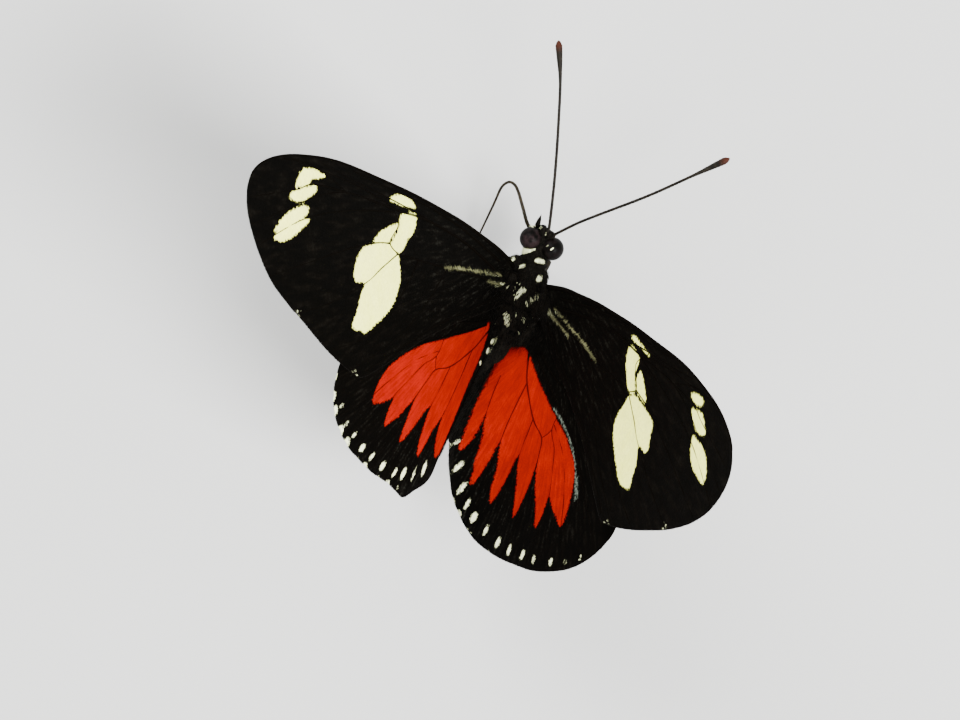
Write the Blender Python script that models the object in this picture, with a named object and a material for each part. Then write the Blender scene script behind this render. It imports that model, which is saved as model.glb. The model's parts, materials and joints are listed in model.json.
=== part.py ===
"""Doris longwing butterfly, life size, resting on four feet with its wings raised in a V.
Lengths are in millimetres and are turned into metres when a mesh is made. +X is the insect's left, -Y is forward, +Z is up."""

import math

import bpy
from mathutils import Matrix, Vector
from mathutils.geometry import delaunay_2d_cdt

# driving dimensions
MM = 0.001
HINGE_HEIGHT = 9.5            # floor to the forewing hinges
ORIGIN = (2.04, 1.33)          # from the body's mid line to the middle of the whole footprint
MEMBRANE = 0.5                # wing thickness between the veins
RIDGE = 0.2                   # a vein's height over the membrane, on each face
RIDGE_HALF_WIDTH = 0.45
OUTLINE_STEP = 1.1
VEIN_STEP = 1.5
FIELD_STEP = 2.0
CAMBER_SPAN, CAMBER_CHORD = 40.0, 20.0
CAMBER_TERMS = ((2, 0), (1, 1), (0, 2), (3, 0), (2, 1), (1, 2), (0, 3))
FOLD_EDGE, FOLD_FADE = 6.0, 12.0

BODY_SIDES = 20
LIMB_SIDES = 8
HEAD_MIDDLE = (0.12, 6.85, 8.2)  # sideways, forward, up
HEAD_YAW = 10.0                  # degrees to the insect's right
FOOT_RADIUS = 0.36

# forewing: (outward, forward) from the hinge, along the leading edge, tip, outer edge and back
FOREWING_OUTLINE = (
    (2.6, 4.0), (6.0, 6.9), (10.6, 9.9), (15.4, 12.8), (19.8, 15.3), (25.9, 18.7), (30.6, 20.5), (34.4, 21.4),
    (37.1, 21.4), (38.8, 20.6), (39.8, 19.0), (40.1, 16.9), (39.7, 14.0), (38.7, 11.0), (37.0, 8.4),
    (34.8, 5.7), (32.4, 2.8), (30.2, 0.6), (28.4, -0.9), (27.0, -1.8), (22.5, -1.7), (17.0, -1.3),
    (11.5, -1.4), (6.0, -1.8), (3.2, -1.9),
)
FOREWING_VEINS = (
    ((1.8, 0.9), (8.0, 6.0), (14.0, 9.9), (18.5, 12.1), (23.5, 14.7), (26.0, 15.9), (30.4, 17.7), (33.0, 18.0),
     (38.6, 18.6)),
    ((2.0, 0.0), (7.0, 2.9), (12.0, 5.0), (16.5, 6.8), (19.8, 8.3), (20.8, 9.6), (19.4, 10.8), (19.3, 12.2)),
    ((13.2, 9.7), (19.0, 13.4), (25.0, 17.1)),
    ((26.0, 15.9), (30.5, 18.9), (34.2, 20.6)),
    ((26.0, 15.9), (29.5, 16.5), (33.0, 16.6), (39.2, 16.5)),
    ((19.3, 12.2), (25.0, 13.9), (30.0, 14.8), (34.2, 15.0), (38.9, 14.5)),
    ((20.8, 9.6), (23.0, 10.2), (28.0, 10.9), (38.0, 11.4)),
    ((19.8, 8.3), (22.5, 7.7), (25.2, 7.1), (30.0, 6.7), (34.8, 6.9)),
    ((16.5, 6.8), (19.0, 5.0), (21.5, 3.4), (25.0, 2.1), (30.9, 2.2)),
    ((11.5, 4.8), (16.0, 2.4), (21.0, 0.6), (27.6, -0.2)),
    ((2.4, -0.8), (8.0, -0.5), (14.0, -0.2), (20.0, -0.5), (26.0, -1.1)),
)
# hindwing: the same, from its own hinge
HINDWING_OUTLINE = (
    (2.5, 0.6), (7.0, -0.8), (12.0, -2.8), (17.0, -5.3), (21.0, -7.9), (23.2, -10.0), (23.5, -12.0), (22.7, -14.2),
    (21.1, -16.0), (18.8, -17.3), (16.4, -18.2), (13.8, -18.7), (11.0, -19.1), (8.0, -19.2), (5.4, -19.2),
    (3.4, -18.3), (1.7, -16.8), (0.7, -15.0), (0.2, -13.2), (-0.1, -11.2), (-0.6, -8.5), (-1.1, -5.5),
    (-0.8, -3.0),
)
HINDWING_VEINS = (
    ((2.3, -0.6), (8.0, -2.5), (15.0, -5.6), (21.9, -9.9)),
    ((1.7, -1.1), (4.5, -2.8), (8.1, -4.6), (13.0, -7.1), (17.0, -9.6), (22.4, -13.0)),
    ((8.1, -4.6), (8.5, -5.9), (10.0, -7.1), (11.0, -8.6), (12.2, -10.6), (13.9, -14.5), (15.1, -17.7)),
    ((10.0, -7.1), (14.4, -10.6), (17.2, -13.7), (20.0, -15.8)),
    ((1.4, -1.8), (3.0, -3.5), (5.5, -6.2), (7.6, -7.2), (8.3, -8.6), (9.0, -10.4), (10.2, -14.0), (11.1, -18.2)),
    ((8.5, -5.9), (7.6, -7.2)),
    ((5.5, -6.2), (5.8, -8.0), (6.1, -10.4), (6.5, -14.5), (6.9, -18.4)),
    ((3.0, -3.5), (3.0, -5.6), (3.2, -8.0), (3.4, -11.0), (3.9, -14.5), (4.4, -17.9)),
    ((0.3, -2.6), (0.0, -5.2), (0.6, -7.6), (0.9, -9.8), (1.3, -13.0), (1.8, -15.8)),
)
# each wing's hinge (sideways, forward, up from the hinge height), turns in degrees and camber
WINGS = {
    "forewing_left": dict(side=1, hinge=(1.72, 2.4, 0.0), raised=63.1, pitch=-10.5, sweep=25.7,
                          camber=(-2.35, -1.5, -2.8, -1.15, 1.05, 0.95, -0.1), fold=0.0,
                          root=((-0.3, 1.3), (1.25, -1.3))),
    "forewing_right": dict(side=-1, hinge=(2.22, 1.7, 0.0), raised=63.5, pitch=9.7, sweep=37.3,
                           camber=(-0.55, -1.75, 3.6, 0.95, -1.15, -0.75, -0.3), fold=0.0,
                           root=((-0.7, 1.3), (1.15, -1.3))),
    "hindwing_left": dict(side=1, hinge=(1.52, -1.9, -1.5), raised=59.5, pitch=-4.5, sweep=-8.2,
                          camber=(0.55, 1.4, 0.25, 0.2, -0.15, -0.75, 0.4), fold=-0.85,
                          root=((1.3, 0.6), (0.4, -1.2))),
    "hindwing_right": dict(side=-1, hinge=(2.02, -2.4, -1.75), raised=46.1, pitch=0.8, sweep=8.3,
                           camber=(1.05, -3.2, 0.15, 1.1, -1.3, 2.0, -0.7), fold=2.4,
                           root=((-0.3, 0.6), (-0.6, -1.2))),
}

# body: rings of (sideways, forward, up, half width, half height)
THORAX_RINGS = (
    (0.0, 5.25, 8.1, 0.95, 0.95), (0.0, 4.85, 8.15, 1.35, 1.4), (0.02, 4.0, 8.2, 1.72, 1.85),
    (0.05, 2.8, 8.2, 1.92, 2.15), (0.1, 1.4, 8.2, 1.97, 2.25), (0.15, 0.0, 8.15, 1.9, 2.15),
    (0.2, -1.2, 8.05, 1.62, 1.8), (0.24, -2.1, 7.95, 1.25, 1.35), (0.26, -2.5, 7.9, 0.9, 0.95),
)
ABDOMEN_PATH = ((0.27, -2.8, 7.75), (0.27, -3.1, 7.75), (0.34, -3.9, 7.05), (0.5, -5.2, 6.1), (0.75, -7.0, 5.25),
                (1.05, -9.2, 4.6), (1.3, -11.4, 3.75), (1.5, -13.2, 3.0), (1.62, -14.2, 2.55), (1.66, -14.6, 2.35))
ABDOMEN_RADII = (0.7, 0.76, 0.95, 1.15, 1.25, 1.22, 1.1, 0.86, 0.56, 0.3)
HEAD_RINGS = ((-1.28, 0.7, 0.8), (-1.05, 0.83, 1.15), (-0.5, 0.87, 1.4), (0.3, 0.87, 1.45), (0.9, 0.82, 1.25),
              (1.3, 0.6, 0.85), (1.45, 0.35, 0.5))
EYE_RINGS = ((1.17, 1.0), (1.45, 1.0), (1.75, 0.88), (2.0, 0.66), (2.14, 0.4), (2.2, 0.18))
EYE_HALF_LENGTH, EYE_HALF_HEIGHT = 1.18, 1.3

# limbs of the left side: (sideways, forward, up), with a radius at each point
MIDLEG = (((1.2, 1.5, 5.88), 0.36), ((1.9, 1.6, 5.0), 0.4), ((2.4, 1.7, 4.9), 0.38), ((3.6, 2.0, 5.6), 0.38),
          ((4.6, 2.2, 6.1), 0.34), ((5.0, 2.2, 5.7), 0.32), ((5.7, 2.2, 3.2), 0.3), ((6.3, 2.2, 1.2), 0.28),
          ((6.7, 2.2, 0.65), 0.27), ((7.6, 2.25, 0.5), 0.26), ((8.6, 2.3, 0.5), 0.26), ((9.0, 2.3, 0.35), FOOT_RADIUS),
          ((9.05, 2.3, 0.0), FOOT_RADIUS))
HINDLEG = (((1.1, -0.5, 5.93), 0.36), ((1.7, -1.0, 5.1), 0.4), ((2.2, -1.5, 5.0), 0.38), ((3.8, -3.2, 5.9), 0.38),
           ((5.2, -4.6, 6.4), 0.34), ((5.5, -5.0, 6.0), 0.32), ((6.1, -6.7, 3.4), 0.3), ((6.7, -8.4, 1.2), 0.28),
           ((6.9, -9.0, 0.65), 0.27), ((7.2, -9.9, 0.5), 0.26), ((7.5, -10.9, 0.5), 0.26),
           ((7.6, -11.3, 0.35), FOOT_RADIUS), ((7.62, -11.35, 0.0), FOOT_RADIUS))
FORELEG = (((0.75, 4.2, 6.15), 0.3), ((0.95, 4.7, 5.8), 0.32), ((1.15, 5.3, 5.5), 0.36), ((1.2, 5.55, 5.1), 0.34),
           ((1.15, 5.2, 4.8), 0.34), ((1.05, 4.2, 4.75), 0.4), ((0.95, 3.3, 4.85), 0.36), ((0.9, 2.8, 4.95), 0.25))
# the head's own limbs, from the middle of the head and before its turn
PALP_LEFT = (((0.95, 1.8, -0.95), 0.22), ((1.15, 1.95, -0.7), 0.26), ((1.35, 2.0, -0.35), 0.26), ((1.46, 2.0, 0.05), 0.2),
             ((1.49, 2.12, 0.42), 0.12))
PALP_RIGHT = (((0.05, 1.84, -0.95), 0.22), ((0.25, 2.0, -0.6), 0.26), ((0.45, 1.98, -0.2), 0.24), ((0.58, 1.95, 0.15), 0.13))
PROBOSCIS = (((0.2, 7.4, 6.1), 0.3), ((0.8, 7.6, 5.9), 0.29), ((1.9, 8.0, 6.1), 0.28), ((2.95, 9.4, 6.7), 0.27),
             ((3.9, 10.7, 7.0), 0.27), ((4.5, 11.25, 6.9), 0.27), ((5.1, 11.3, 6.4), 0.27), ((5.6, 10.6, 5.5), 0.27),
             ((5.75, 9.0, 4.2), 0.27), ((5.95, 7.0, 2.9), 0.26), ((6.1, 5.6, 2.0), 0.24), ((6.15, 4.9, 1.5), 0.16))
ANTENNA_LEFT = ((0.06, 8.75, 9.25), (0.83, 12.0, 10.1), (1.7, 15.2, 11.0), (2.6, 18.4, 11.9), (3.75, 22.0, 12.9),
                (5.2, 25.5, 13.9))
ANTENNA_RIGHT = ((-0.75, 8.5, 9.25), (-4.2, 11.2, 10.3), (-8.0, 14.6, 11.6), (-11.7, 18.2, 12.9), (-14.0, 20.5, 13.7))
ANTENNA_RADIUS, CLUB_RADIUS, CLUB_LENGTH = 0.26, 0.46, 5.0

COLOURS = {"dark": (0.02, 0.017, 0.014, 1.0), "wing": (0.03, 0.026, 0.022, 1.0), "eye": (0.05, 0.02, 0.03, 1.0)}
ROUGHNESS = {"dark": 0.75, "wing": 0.7, "eye": 0.2}

collection = bpy.data.collections.new("doris_longwing")


def place(sideways, forward, up):
    """A point of the model, in metres, from the body's own directions in millimetres."""
    return Vector(((sideways - ORIGIN[0]) * MM, (-forward + ORIGIN[1]) * MM, up * MM))


def finish(name, points, faces, look):
    mesh = bpy.data.meshes.new(name)
    mesh.from_pydata([place(*p) for p in points], [], faces)
    mesh.validate()
    material = bpy.data.materials.new(name)
    material.use_nodes = True
    shader = material.node_tree.nodes["Principled BSDF"]
    shader.inputs["Base Color"].default_value = COLOURS[look]
    shader.inputs["Roughness"].default_value = ROUGHNESS[look]
    mesh.materials.append(material)
    obj = bpy.data.objects.new(name, mesh)
    collection.objects.link(obj)
    return obj


def loft(rings, facing_out=True):
    """Points and faces of a closed tube through rings of equal length, with flat ends."""
    count = len(rings[0])
    points = [p for ring in rings for p in ring]
    faces = []
    for i in range(len(rings) - 1):
        for j in range(count):
            a, b = i * count + j, i * count + (j + 1) % count
            faces.append((a, b, b + count, a + count))
    faces.append(tuple(reversed(range(count))))
    faces.append(tuple((len(rings) - 1) * count + j for j in range(count)))
    return points, faces if facing_out else [tuple(reversed(f)) for f in faces]


def curve_through(points, step, closed=False):
    """A smooth line through the points, sampled about one step apart. It keeps the given points."""
    count = len(points)
    line = []
    for i in range(count if closed else count - 1):
        ps = [Vector(points[(i + k) % count] if closed else points[min(max(i + k, 0), count - 1)]) for k in (-1, 0, 1, 2)]
        pieces = max(1, round((ps[2] - ps[1]).length / step))
        for n in range(pieces):
            t = n / pieces
            line.append(0.5 * (2 * ps[1] + (ps[2] - ps[0]) * t + (2 * ps[0] - 5 * ps[1] + 4 * ps[2] - ps[3]) * t * t
                               + (3 * ps[1] - ps[0] - 3 * ps[2] + ps[3]) * t ** 3))
    if not closed:
        line.append(Vector(points[-1]))
    return line


def limb(path, radii, sides=LIMB_SIDES, flat_end=False):
    """A round tube along a path of body points. With flat_end its last ring lies level."""
    path = [Vector(p) for p in path]
    rings = []
    across = None
    for i, p in enumerate(path):
        before = (p - path[i - 1]).normalized() if i else (path[1] - p).normalized()
        after = (path[i + 1] - p).normalized() if i < len(path) - 1 else before
        along = (before + after).normalized()
        if flat_end and i >= len(path) - 2:
            along = Vector((0, 0, -1))
        guide = across if across is not None else along.orthogonal()
        across = (guide - along * guide.dot(along)).normalized()
        other = along.cross(across)
        rings.append([p + radii[i] * (math.cos(a) * across + math.sin(a) * other)
                      for a in (2 * math.pi * j / sides for j in range(sides))])
    return loft(rings, facing_out=False)


def mirrored(points):
    return [(-x, y, z) for x, y, z in points]


def wing_point(wing, u, v, lift=0.0):
    """Body point of a wing: u outward and v forward from the hinge, lift along the wing's upper side."""
    a, b = u / CAMBER_SPAN, v / CAMBER_CHORD
    bend = sum(c * a ** i * b ** j for c, (i, j) in zip(wing["camber"], CAMBER_TERMS))
    fold = max(0.0, FOLD_EDGE - u) / FOLD_EDGE
    bend += wing["fold"] * fold * fold * min(1.0, max(0.0, -v / FOLD_FADE))
    turn = (Matrix.Rotation(math.radians(-wing["raised"]), 3, "Y") @ Matrix.Rotation(math.radians(wing["pitch"]), 3, "X")
            @ Matrix.Rotation(math.radians(-wing["sweep"]), 3, "Z"))
    out, forward, up = turn @ Vector((u, v, bend + lift))
    hinge = wing["hinge"]
    return Vector((wing["side"] * (hinge[0] + out), hinge[1] + forward, hinge[2] + HINGE_HEIGHT + up))


def distance_to(line, p):
    best = 1e9
    for a, b in zip(line, line[1:]):
        ab = b - a
        t = min(1.0, max(0.0, (p - a).dot(ab) / ab.dot(ab)))
        best = min(best, (p - a - ab * t).length)
    return best


def wing_solid(name, wing, outline, veins):
    """A closed thin wing: one flat triangulation, put on both faces of the cambered surface."""
    rim = [wing["root"][0]] + list(outline) + [wing["root"][1]]
    edge = curve_through(rim, OUTLINE_STEP)
    lines = [curve_through(v, VEIN_STEP) for v in veins]
    points, edges = list(edge), [(i, (i + 1) % len(edge)) for i in range(len(edge))]
    for line in lines:
        for offset in (-RIDGE_HALF_WIDTH, 0.0, RIDGE_HALF_WIDTH):
            start = len(points)
            for i, p in enumerate(line):
                along = (line[min(i + 1, len(line) - 1)] - line[max(i - 1, 0)]).normalized()
                q = p + offset * Vector((-along.y, along.x))
                crowded = offset and any(distance_to(other, q) < RIDGE_HALF_WIDTH * 0.9 for other in lines if other is not line)
                if crowded:
                    continue
                points.append(q)
                if len(points) - 1 > start and (points[-1] - points[-2]).length < 2.2 * VEIN_STEP:
                    edges.append((len(points) - 2, len(points) - 1))
    low = [min(p[k] for p in edge) for k in (0, 1)]
    high = [max(p[k] for p in edge) for k in (0, 1)]
    closed_edge = edge + [edge[0]]
    for i in range(int((high[0] - low[0]) / FIELD_STEP) + 1):
        for j in range(int((high[1] - low[1]) / FIELD_STEP) + 1):
            p = Vector((low[0] + (i + 0.5 * (j % 2)) * FIELD_STEP, low[1] + j * FIELD_STEP))
            if distance_to(closed_edge, p) > 0.8 and all(distance_to(line, p) > 1.0 for line in lines):
                points.append(p)
    flat, _, triangles, *_ = delaunay_2d_cdt([Vector((p.x, p.y)) for p in points], edges, [], 1, 1e-5)
    inside = {old: new for new, old in enumerate(sorted({k for t in triangles for k in t}))}
    flat = [flat[old] for old in inside]
    triangles = [tuple(inside[k] for k in t) for t in triangles]
    heights = []
    for p in flat:
        rise = max(0.0, 1 - min(distance_to(line, p) for line in lines) / RIDGE_HALF_WIDTH)
        heights.append(MEMBRANE / 2 + RIDGE * rise)
    upper = [wing_point(wing, p.x, p.y, h) for p, h in zip(flat, heights)]
    lower = [wing_point(wing, p.x, p.y, -h) for p, h in zip(flat, heights)]
    count = len(flat)
    faces = [tuple(t) for t in triangles] + [tuple(count + k for k in reversed(t)) for t in triangles]
    border = {}
    for t in triangles:
        for k in range(3):
            a, b = t[k], t[(k + 1) % 3]
            if (b, a) in border:
                del border[(b, a)]
            else:
                border[(a, b)] = True
    for a, b in border:
        faces += [(b, a, count + a), (b, count + a, count + b)]
    if wing["side"] < 0:
        faces = [tuple(reversed(f)) for f in faces]
    return finish(name, upper + lower, [tuple(reversed(f)) for f in faces], "wing")


def ellipse(middle, across, upward, half_width, half_height, power=2.0, sides=BODY_SIDES):
    ring = []
    for j in range(sides):
        a = 2 * math.pi * j / sides
        c, s = math.cos(a), math.sin(a)
        x = half_width * math.copysign(abs(c) ** (2 / power), c)
        z = half_height * math.copysign(abs(s) ** (2 / power), s)
        ring.append(middle + x * across + z * upward)
    return ring


def head_point(sideways, forward, up):
    """A point given from the middle of the head, after the head's turn."""
    yaw = math.radians(HEAD_YAW)
    return Vector((HEAD_MIDDLE[0] + sideways * math.cos(yaw) - forward * math.sin(yaw),
                   HEAD_MIDDLE[1] + forward * math.cos(yaw) + sideways * math.sin(yaw), HEAD_MIDDLE[2] + up))


def build_body():
    side, up = Vector((1, 0, 0)), Vector((0, 0, 1))
    rings = [ellipse(Vector((x, y, z)), side, up, w, h) for x, y, z, w, h in THORAX_RINGS]
    finish("thorax", *loft(rings, facing_out=False), "dark")
    finish("abdomen", *limb(ABDOMEN_PATH, ABDOMEN_RADII, BODY_SIDES), "dark")
    rings = [[head_point(*p) for p in ellipse(Vector((0, f, 0)), side, up, w, h, 3.2)] for f, w, h in HEAD_RINGS]
    finish("head", *loft(rings), "dark")
    for name, sign in (("eye_left", 1), ("eye_right", -1)):
        rings = [[head_point(*p) for p in ellipse(Vector((sign * x, 0, 0)), Vector((0, 1, 0)), up,
                                                  EYE_HALF_LENGTH * k, EYE_HALF_HEIGHT * k)] for x, k in EYE_RINGS]
        finish(name, *loft(rings, facing_out=sign < 0), "eye")


def build_limbs():
    for name, shape, flat in (("midleg", MIDLEG, True), ("hindleg", HINDLEG, True), ("foreleg", FORELEG, False)):
        path, radii = [p for p, _ in shape], [r for _, r in shape]
        finish(name + "_left", *limb(path, radii, flat_end=flat), "dark")
        finish(name + "_right", *limb(mirrored(path), radii, flat_end=flat), "dark")
    for name, shape in (("palp_left", PALP_LEFT), ("palp_right", PALP_RIGHT)):
        finish(name, *limb([head_point(*p) for p, _ in shape], [r for _, r in shape]), "dark")
    finish("proboscis", *limb([p for p, _ in PROBOSCIS], [r for _, r in PROBOSCIS]), "dark")
    for name, points in (("antenna_left", ANTENNA_LEFT), ("antenna_right", ANTENNA_RIGHT)):
        path = curve_through(points, 1.4)
        tip = path[-1]
        radii = []
        for p in path:
            t = (tip - p).length / CLUB_LENGTH
            swell = max(0.0, 1 - abs(t - 0.35) / 0.65) if t > 0.35 else (0.45 + 1.57 * t)
            radii.append(max(ANTENNA_RADIUS if t > 0.35 else 0.2, ANTENNA_RADIUS + (CLUB_RADIUS - ANTENNA_RADIUS) * swell)
                         if t > 0.1 else 0.24)
        finish(name, *limb(path, radii), "dark")


def build():
    for obj in list(bpy.data.objects):
        bpy.data.objects.remove(obj)
    bpy.context.scene.collection.children.link(collection)
    build_body()
    build_limbs()
    for name, wing in WINGS.items():
        if name.startswith("forewing"):
            wing_solid(name, wing, FOREWING_OUTLINE, FOREWING_VEINS)
        else:
            wing_solid(name, wing, HINDWING_OUTLINE, HINDWING_VEINS)


build()
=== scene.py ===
import json
import math

import bpy
import numpy as np
from mathutils import Matrix, Vector
from mathutils.kdtree import KDTree

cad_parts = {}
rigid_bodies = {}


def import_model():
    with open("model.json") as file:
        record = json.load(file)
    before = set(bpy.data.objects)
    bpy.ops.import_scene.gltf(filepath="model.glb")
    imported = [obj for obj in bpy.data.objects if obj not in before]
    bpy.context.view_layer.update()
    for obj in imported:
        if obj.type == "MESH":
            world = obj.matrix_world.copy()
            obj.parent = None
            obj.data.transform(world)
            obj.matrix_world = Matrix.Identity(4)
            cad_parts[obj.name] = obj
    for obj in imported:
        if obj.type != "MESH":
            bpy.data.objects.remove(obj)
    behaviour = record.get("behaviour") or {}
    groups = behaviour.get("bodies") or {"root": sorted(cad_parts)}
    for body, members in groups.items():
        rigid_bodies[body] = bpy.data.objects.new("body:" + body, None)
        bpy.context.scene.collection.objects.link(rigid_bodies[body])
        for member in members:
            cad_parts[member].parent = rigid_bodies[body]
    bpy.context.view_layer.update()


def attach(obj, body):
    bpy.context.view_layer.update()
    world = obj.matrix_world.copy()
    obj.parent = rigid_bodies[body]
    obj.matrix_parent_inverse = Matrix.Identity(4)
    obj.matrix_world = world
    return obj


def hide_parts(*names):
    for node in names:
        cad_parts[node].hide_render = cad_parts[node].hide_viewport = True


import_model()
for obj in bpy.context.scene.objects:
    obj.select_set(False)

# Everything is worked out in millimetres: sideways to the insect's left, forward along its body, and up.
# Meshes are built in world directions at 1 unit to the millimetre and are brought to metres by settle().
toMetres = 0.001
origin = {"sideways": 2.04, "forward": 1.33}


def world(points):
    points = np.asarray(points, float)
    return np.stack((points[..., 0] - origin["sideways"], origin["forward"] - points[..., 1], points[..., 2]), -1)


def body(points):
    points = np.asarray(points, float)
    return np.stack((points[..., 0] + origin["sideways"], origin["forward"] - points[..., 1], points[..., 2]), -1)


def selectOnly(obj):
    bpy.ops.object.select_all(action="DESELECT")
    obj.select_set(True)
    bpy.context.view_layer.objects.active = obj


def useModifier(obj, kind, **settings):
    selectOnly(obj)
    modifier = obj.modifiers.new(kind.lower(), kind)
    for name, value in settings.items():
        setattr(modifier, name, value)
    bpy.ops.object.modifier_apply(modifier=modifier.name)


def joinAll(objects, name):
    bpy.ops.object.select_all(action="DESELECT")
    for obj in objects:
        obj.select_set(True)
    bpy.context.view_layer.objects.active = objects[0]
    if len(objects) > 1:
        bpy.ops.object.join()
    objects[0].name = name
    return objects[0]


# turns all faces outward, after closing the seams narrower than weld
def turnOutward(obj, weld=0.0):
    selectOnly(obj)
    bpy.ops.object.mode_set(mode="EDIT")
    bpy.ops.mesh.select_all(action="SELECT")
    if weld:
        bpy.ops.mesh.remove_doubles(threshold=weld)
    bpy.ops.mesh.normals_make_consistent(inside=False)
    bpy.ops.object.mode_set(mode="OBJECT")


# brings a finished piece to metres, gives it its material and hangs it on the root body, hiding the model's parts that
# it replaces
def settle(obj, material, slot, *nodes):
    obj.data.transform(Matrix.Scale(toMetres, 4) @ obj.matrix_world)
    obj.matrix_world = Matrix.Identity(4)
    if material is not None:
        obj.data.materials.clear()
        obj.data.materials.append(material)
    obj.data.shade_smooth()
    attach(obj, "root")
    if nodes:
        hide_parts(*nodes)
    print(obj.name, len(obj.data.polygons), "faces")
    return obj


# one value, or one row of values, for each part of a mesh
def arrayOf(items, name, width=1, kind=np.int64):
    found = np.zeros(len(items) * width, kind)
    items.foreach_get(name, found)
    return found.reshape(-1, width) if width > 1 else found


def coordinates(obj):
    return arrayOf(obj.data.vertices, "co", 3, float)


def setCoordinates(obj, points):
    obj.data.vertices.foreach_set("co", np.asarray(points, np.float32).ravel())
    obj.data.update()


def setField(obj, name, values):
    field = obj.data.attributes.get(name) or obj.data.attributes.new(name, "FLOAT", "POINT")
    field.data.foreach_set("value", np.asarray(values, np.float32).ravel())


def getField(obj, name):
    return arrayOf(obj.data.attributes[name].data, "value", 1, np.float32)


# a smooth line through the points that keeps them, sampled about one step apart
def smoothLine(points, step, closed=False):
    points = [np.array(p, float) for p in points]
    count = len(points)
    line = []
    for i in range(count if closed else count - 1):
        near = [points[(i + k) % count] if closed else points[min(max(i + k, 0), count - 1)] for k in (-1, 0, 1, 2)]
        pieces = max(1, round(float(np.linalg.norm(near[2] - near[1])) / step))
        for n in range(pieces):
            t = n / pieces
            line.append(0.5 * (2 * near[1] + (near[2] - near[0]) * t
                               + (2 * near[0] - 5 * near[1] + 4 * near[2] - near[3]) * t ** 2
                               + (3 * near[1] - near[0] - 3 * near[2] + near[3]) * t ** 3))
    if not closed:
        line.append(points[-1])
    return np.array(line)


def lengthsAlong(line):
    return np.concatenate(([0.0], np.cumsum(np.linalg.norm(np.diff(line, axis=0), axis=1))))


def spread(line, count):
    along = lengthsAlong(line)
    wanted = np.linspace(0, along[-1], count)
    return np.stack([np.interp(wanted, along, line[:, k]) for k in range(line.shape[1])], -1)


# distance in millimetres from each point to an open line, and to a closed outline with the inside positive
def lineDistance(line, u, v):
    best = np.full(np.shape(u), 1e9)
    for (ax, ay), (bx, by) in zip(line[:-1], line[1:]):
        dx, dy = bx - ax, by - ay
        t = np.clip(((u - ax) * dx + (v - ay) * dy) / (dx * dx + dy * dy + 1e-12), 0, 1)
        best = np.minimum(best, np.hypot(u - ax - t * dx, v - ay - t * dy))
    return best


def insideDistance(outline, u, v):
    closed = np.vstack((outline, outline[:1]))
    inside = np.zeros(np.shape(u), bool)
    for (ax, ay), (bx, by) in zip(closed[:-1], closed[1:]):
        rises = (ay > v) != (by > v)
        inside ^= rises & (u < (bx - ax) * (v - ay) / (by - ay + 1e-12) + ax)
    distance = lineDistance(closed, u, v)
    return np.where(inside, distance, -distance)


# Shader maths: a Wire is one socket, and sums written on Wires add their Math nodes.
class Wire:
    def __init__(self, tree, socket=None):
        self.tree = tree
        self.socket = socket

    def node(self, kind, settings=None, inputs=None, output=0):
        made = self.tree.nodes.new(kind)
        for name, value in (settings or {}).items():
            if name == "stops":
                while len(made.color_ramp.elements) < len(value):
                    made.color_ramp.elements.new(1.0)
                for element, (position, colour) in zip(made.color_ramp.elements, value):
                    element.position = position
                    element.color = colour
            else:
                setattr(made, name, value)
        for name, value in (inputs or {}).items():
            if isinstance(value, Wire):
                self.tree.links.new(value.socket, made.inputs[name])
            else:
                made.inputs[name].default_value = value
        return Wire(self.tree, made.outputs[output])

    def maths(self, operation, a, b=0.0):
        return self.node("ShaderNodeMath", {"operation": operation}, {0: a, 1: b})

    def __add__(self, other):
        return self.maths("ADD", self, other)

    def __radd__(self, other):
        return self.maths("ADD", other, self)

    def __sub__(self, other):
        return self.maths("SUBTRACT", self, other)

    def __rsub__(self, other):
        return self.maths("SUBTRACT", other, self)

    def __mul__(self, other):
        return self.maths("MULTIPLY", self, other)

    def __rmul__(self, other):
        return self.maths("MULTIPLY", other, self)

    # 0 below low and 1 above high, with a soft step between them
    def step(self, low, high):
        return self.node("ShaderNodeMapRange", {"interpolation_type": "SMOOTHSTEP"}, {0: self, 1: low, 2: high})

    # one colour where this is 0 and another where it is 1
    def blend(self, atZero, atOne):
        return self.node("ShaderNodeMix", {"data_type": "RGBA"}, {0: self, 6: atZero, 7: atOne}, 2)


def newMaterial(name, **constants):
    material = bpy.data.materials.new(name)
    material.use_nodes = True
    shader = material.node_tree.nodes["Principled BSDF"]
    for socket, value in constants.items():
        shader.inputs[socket.replace("_", " ")].default_value = value
    return material, Wire(material.node_tree), shader


def link(shader, socket, wire):
    wire.tree.links.new(wire.socket, shader.inputs[socket])


def field(wire, name):
    return wire.node("ShaderNodeAttribute", {"attribute_name": name}, {}, "Fac")


def objectPlace(wire):
    return wire.node("ShaderNodeTexCoord", {}, {}, "Object")


def flatPlace(wire, x, y):
    return wire.node("ShaderNodeCombineXYZ", {}, {0: x, 1: y})


def stretched(place, scale):
    return place.node("ShaderNodeVectorMath", {"operation": "MULTIPLY"}, {0: place, 1: scale})


def noiseOf(wire, vector, scale, detail=3.0):
    return wire.node("ShaderNodeTexNoise", {},
                     {"Vector": vector, "Scale": scale, "Detail": detail, "Roughness": 0.55})


def cellsOf(wire, vector, scale, output, randomness=1.0, **settings):
    return wire.node("ShaderNodeTexVoronoi", settings,
                     {"Vector": vector, "Scale": scale, "Randomness": randomness}, output)


def bumpOf(wire, height, distance, strength=1.0):
    return wire.node("ShaderNodeBump", {}, {"Height": height, "Distance": distance, "Strength": strength})


# Wings

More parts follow.
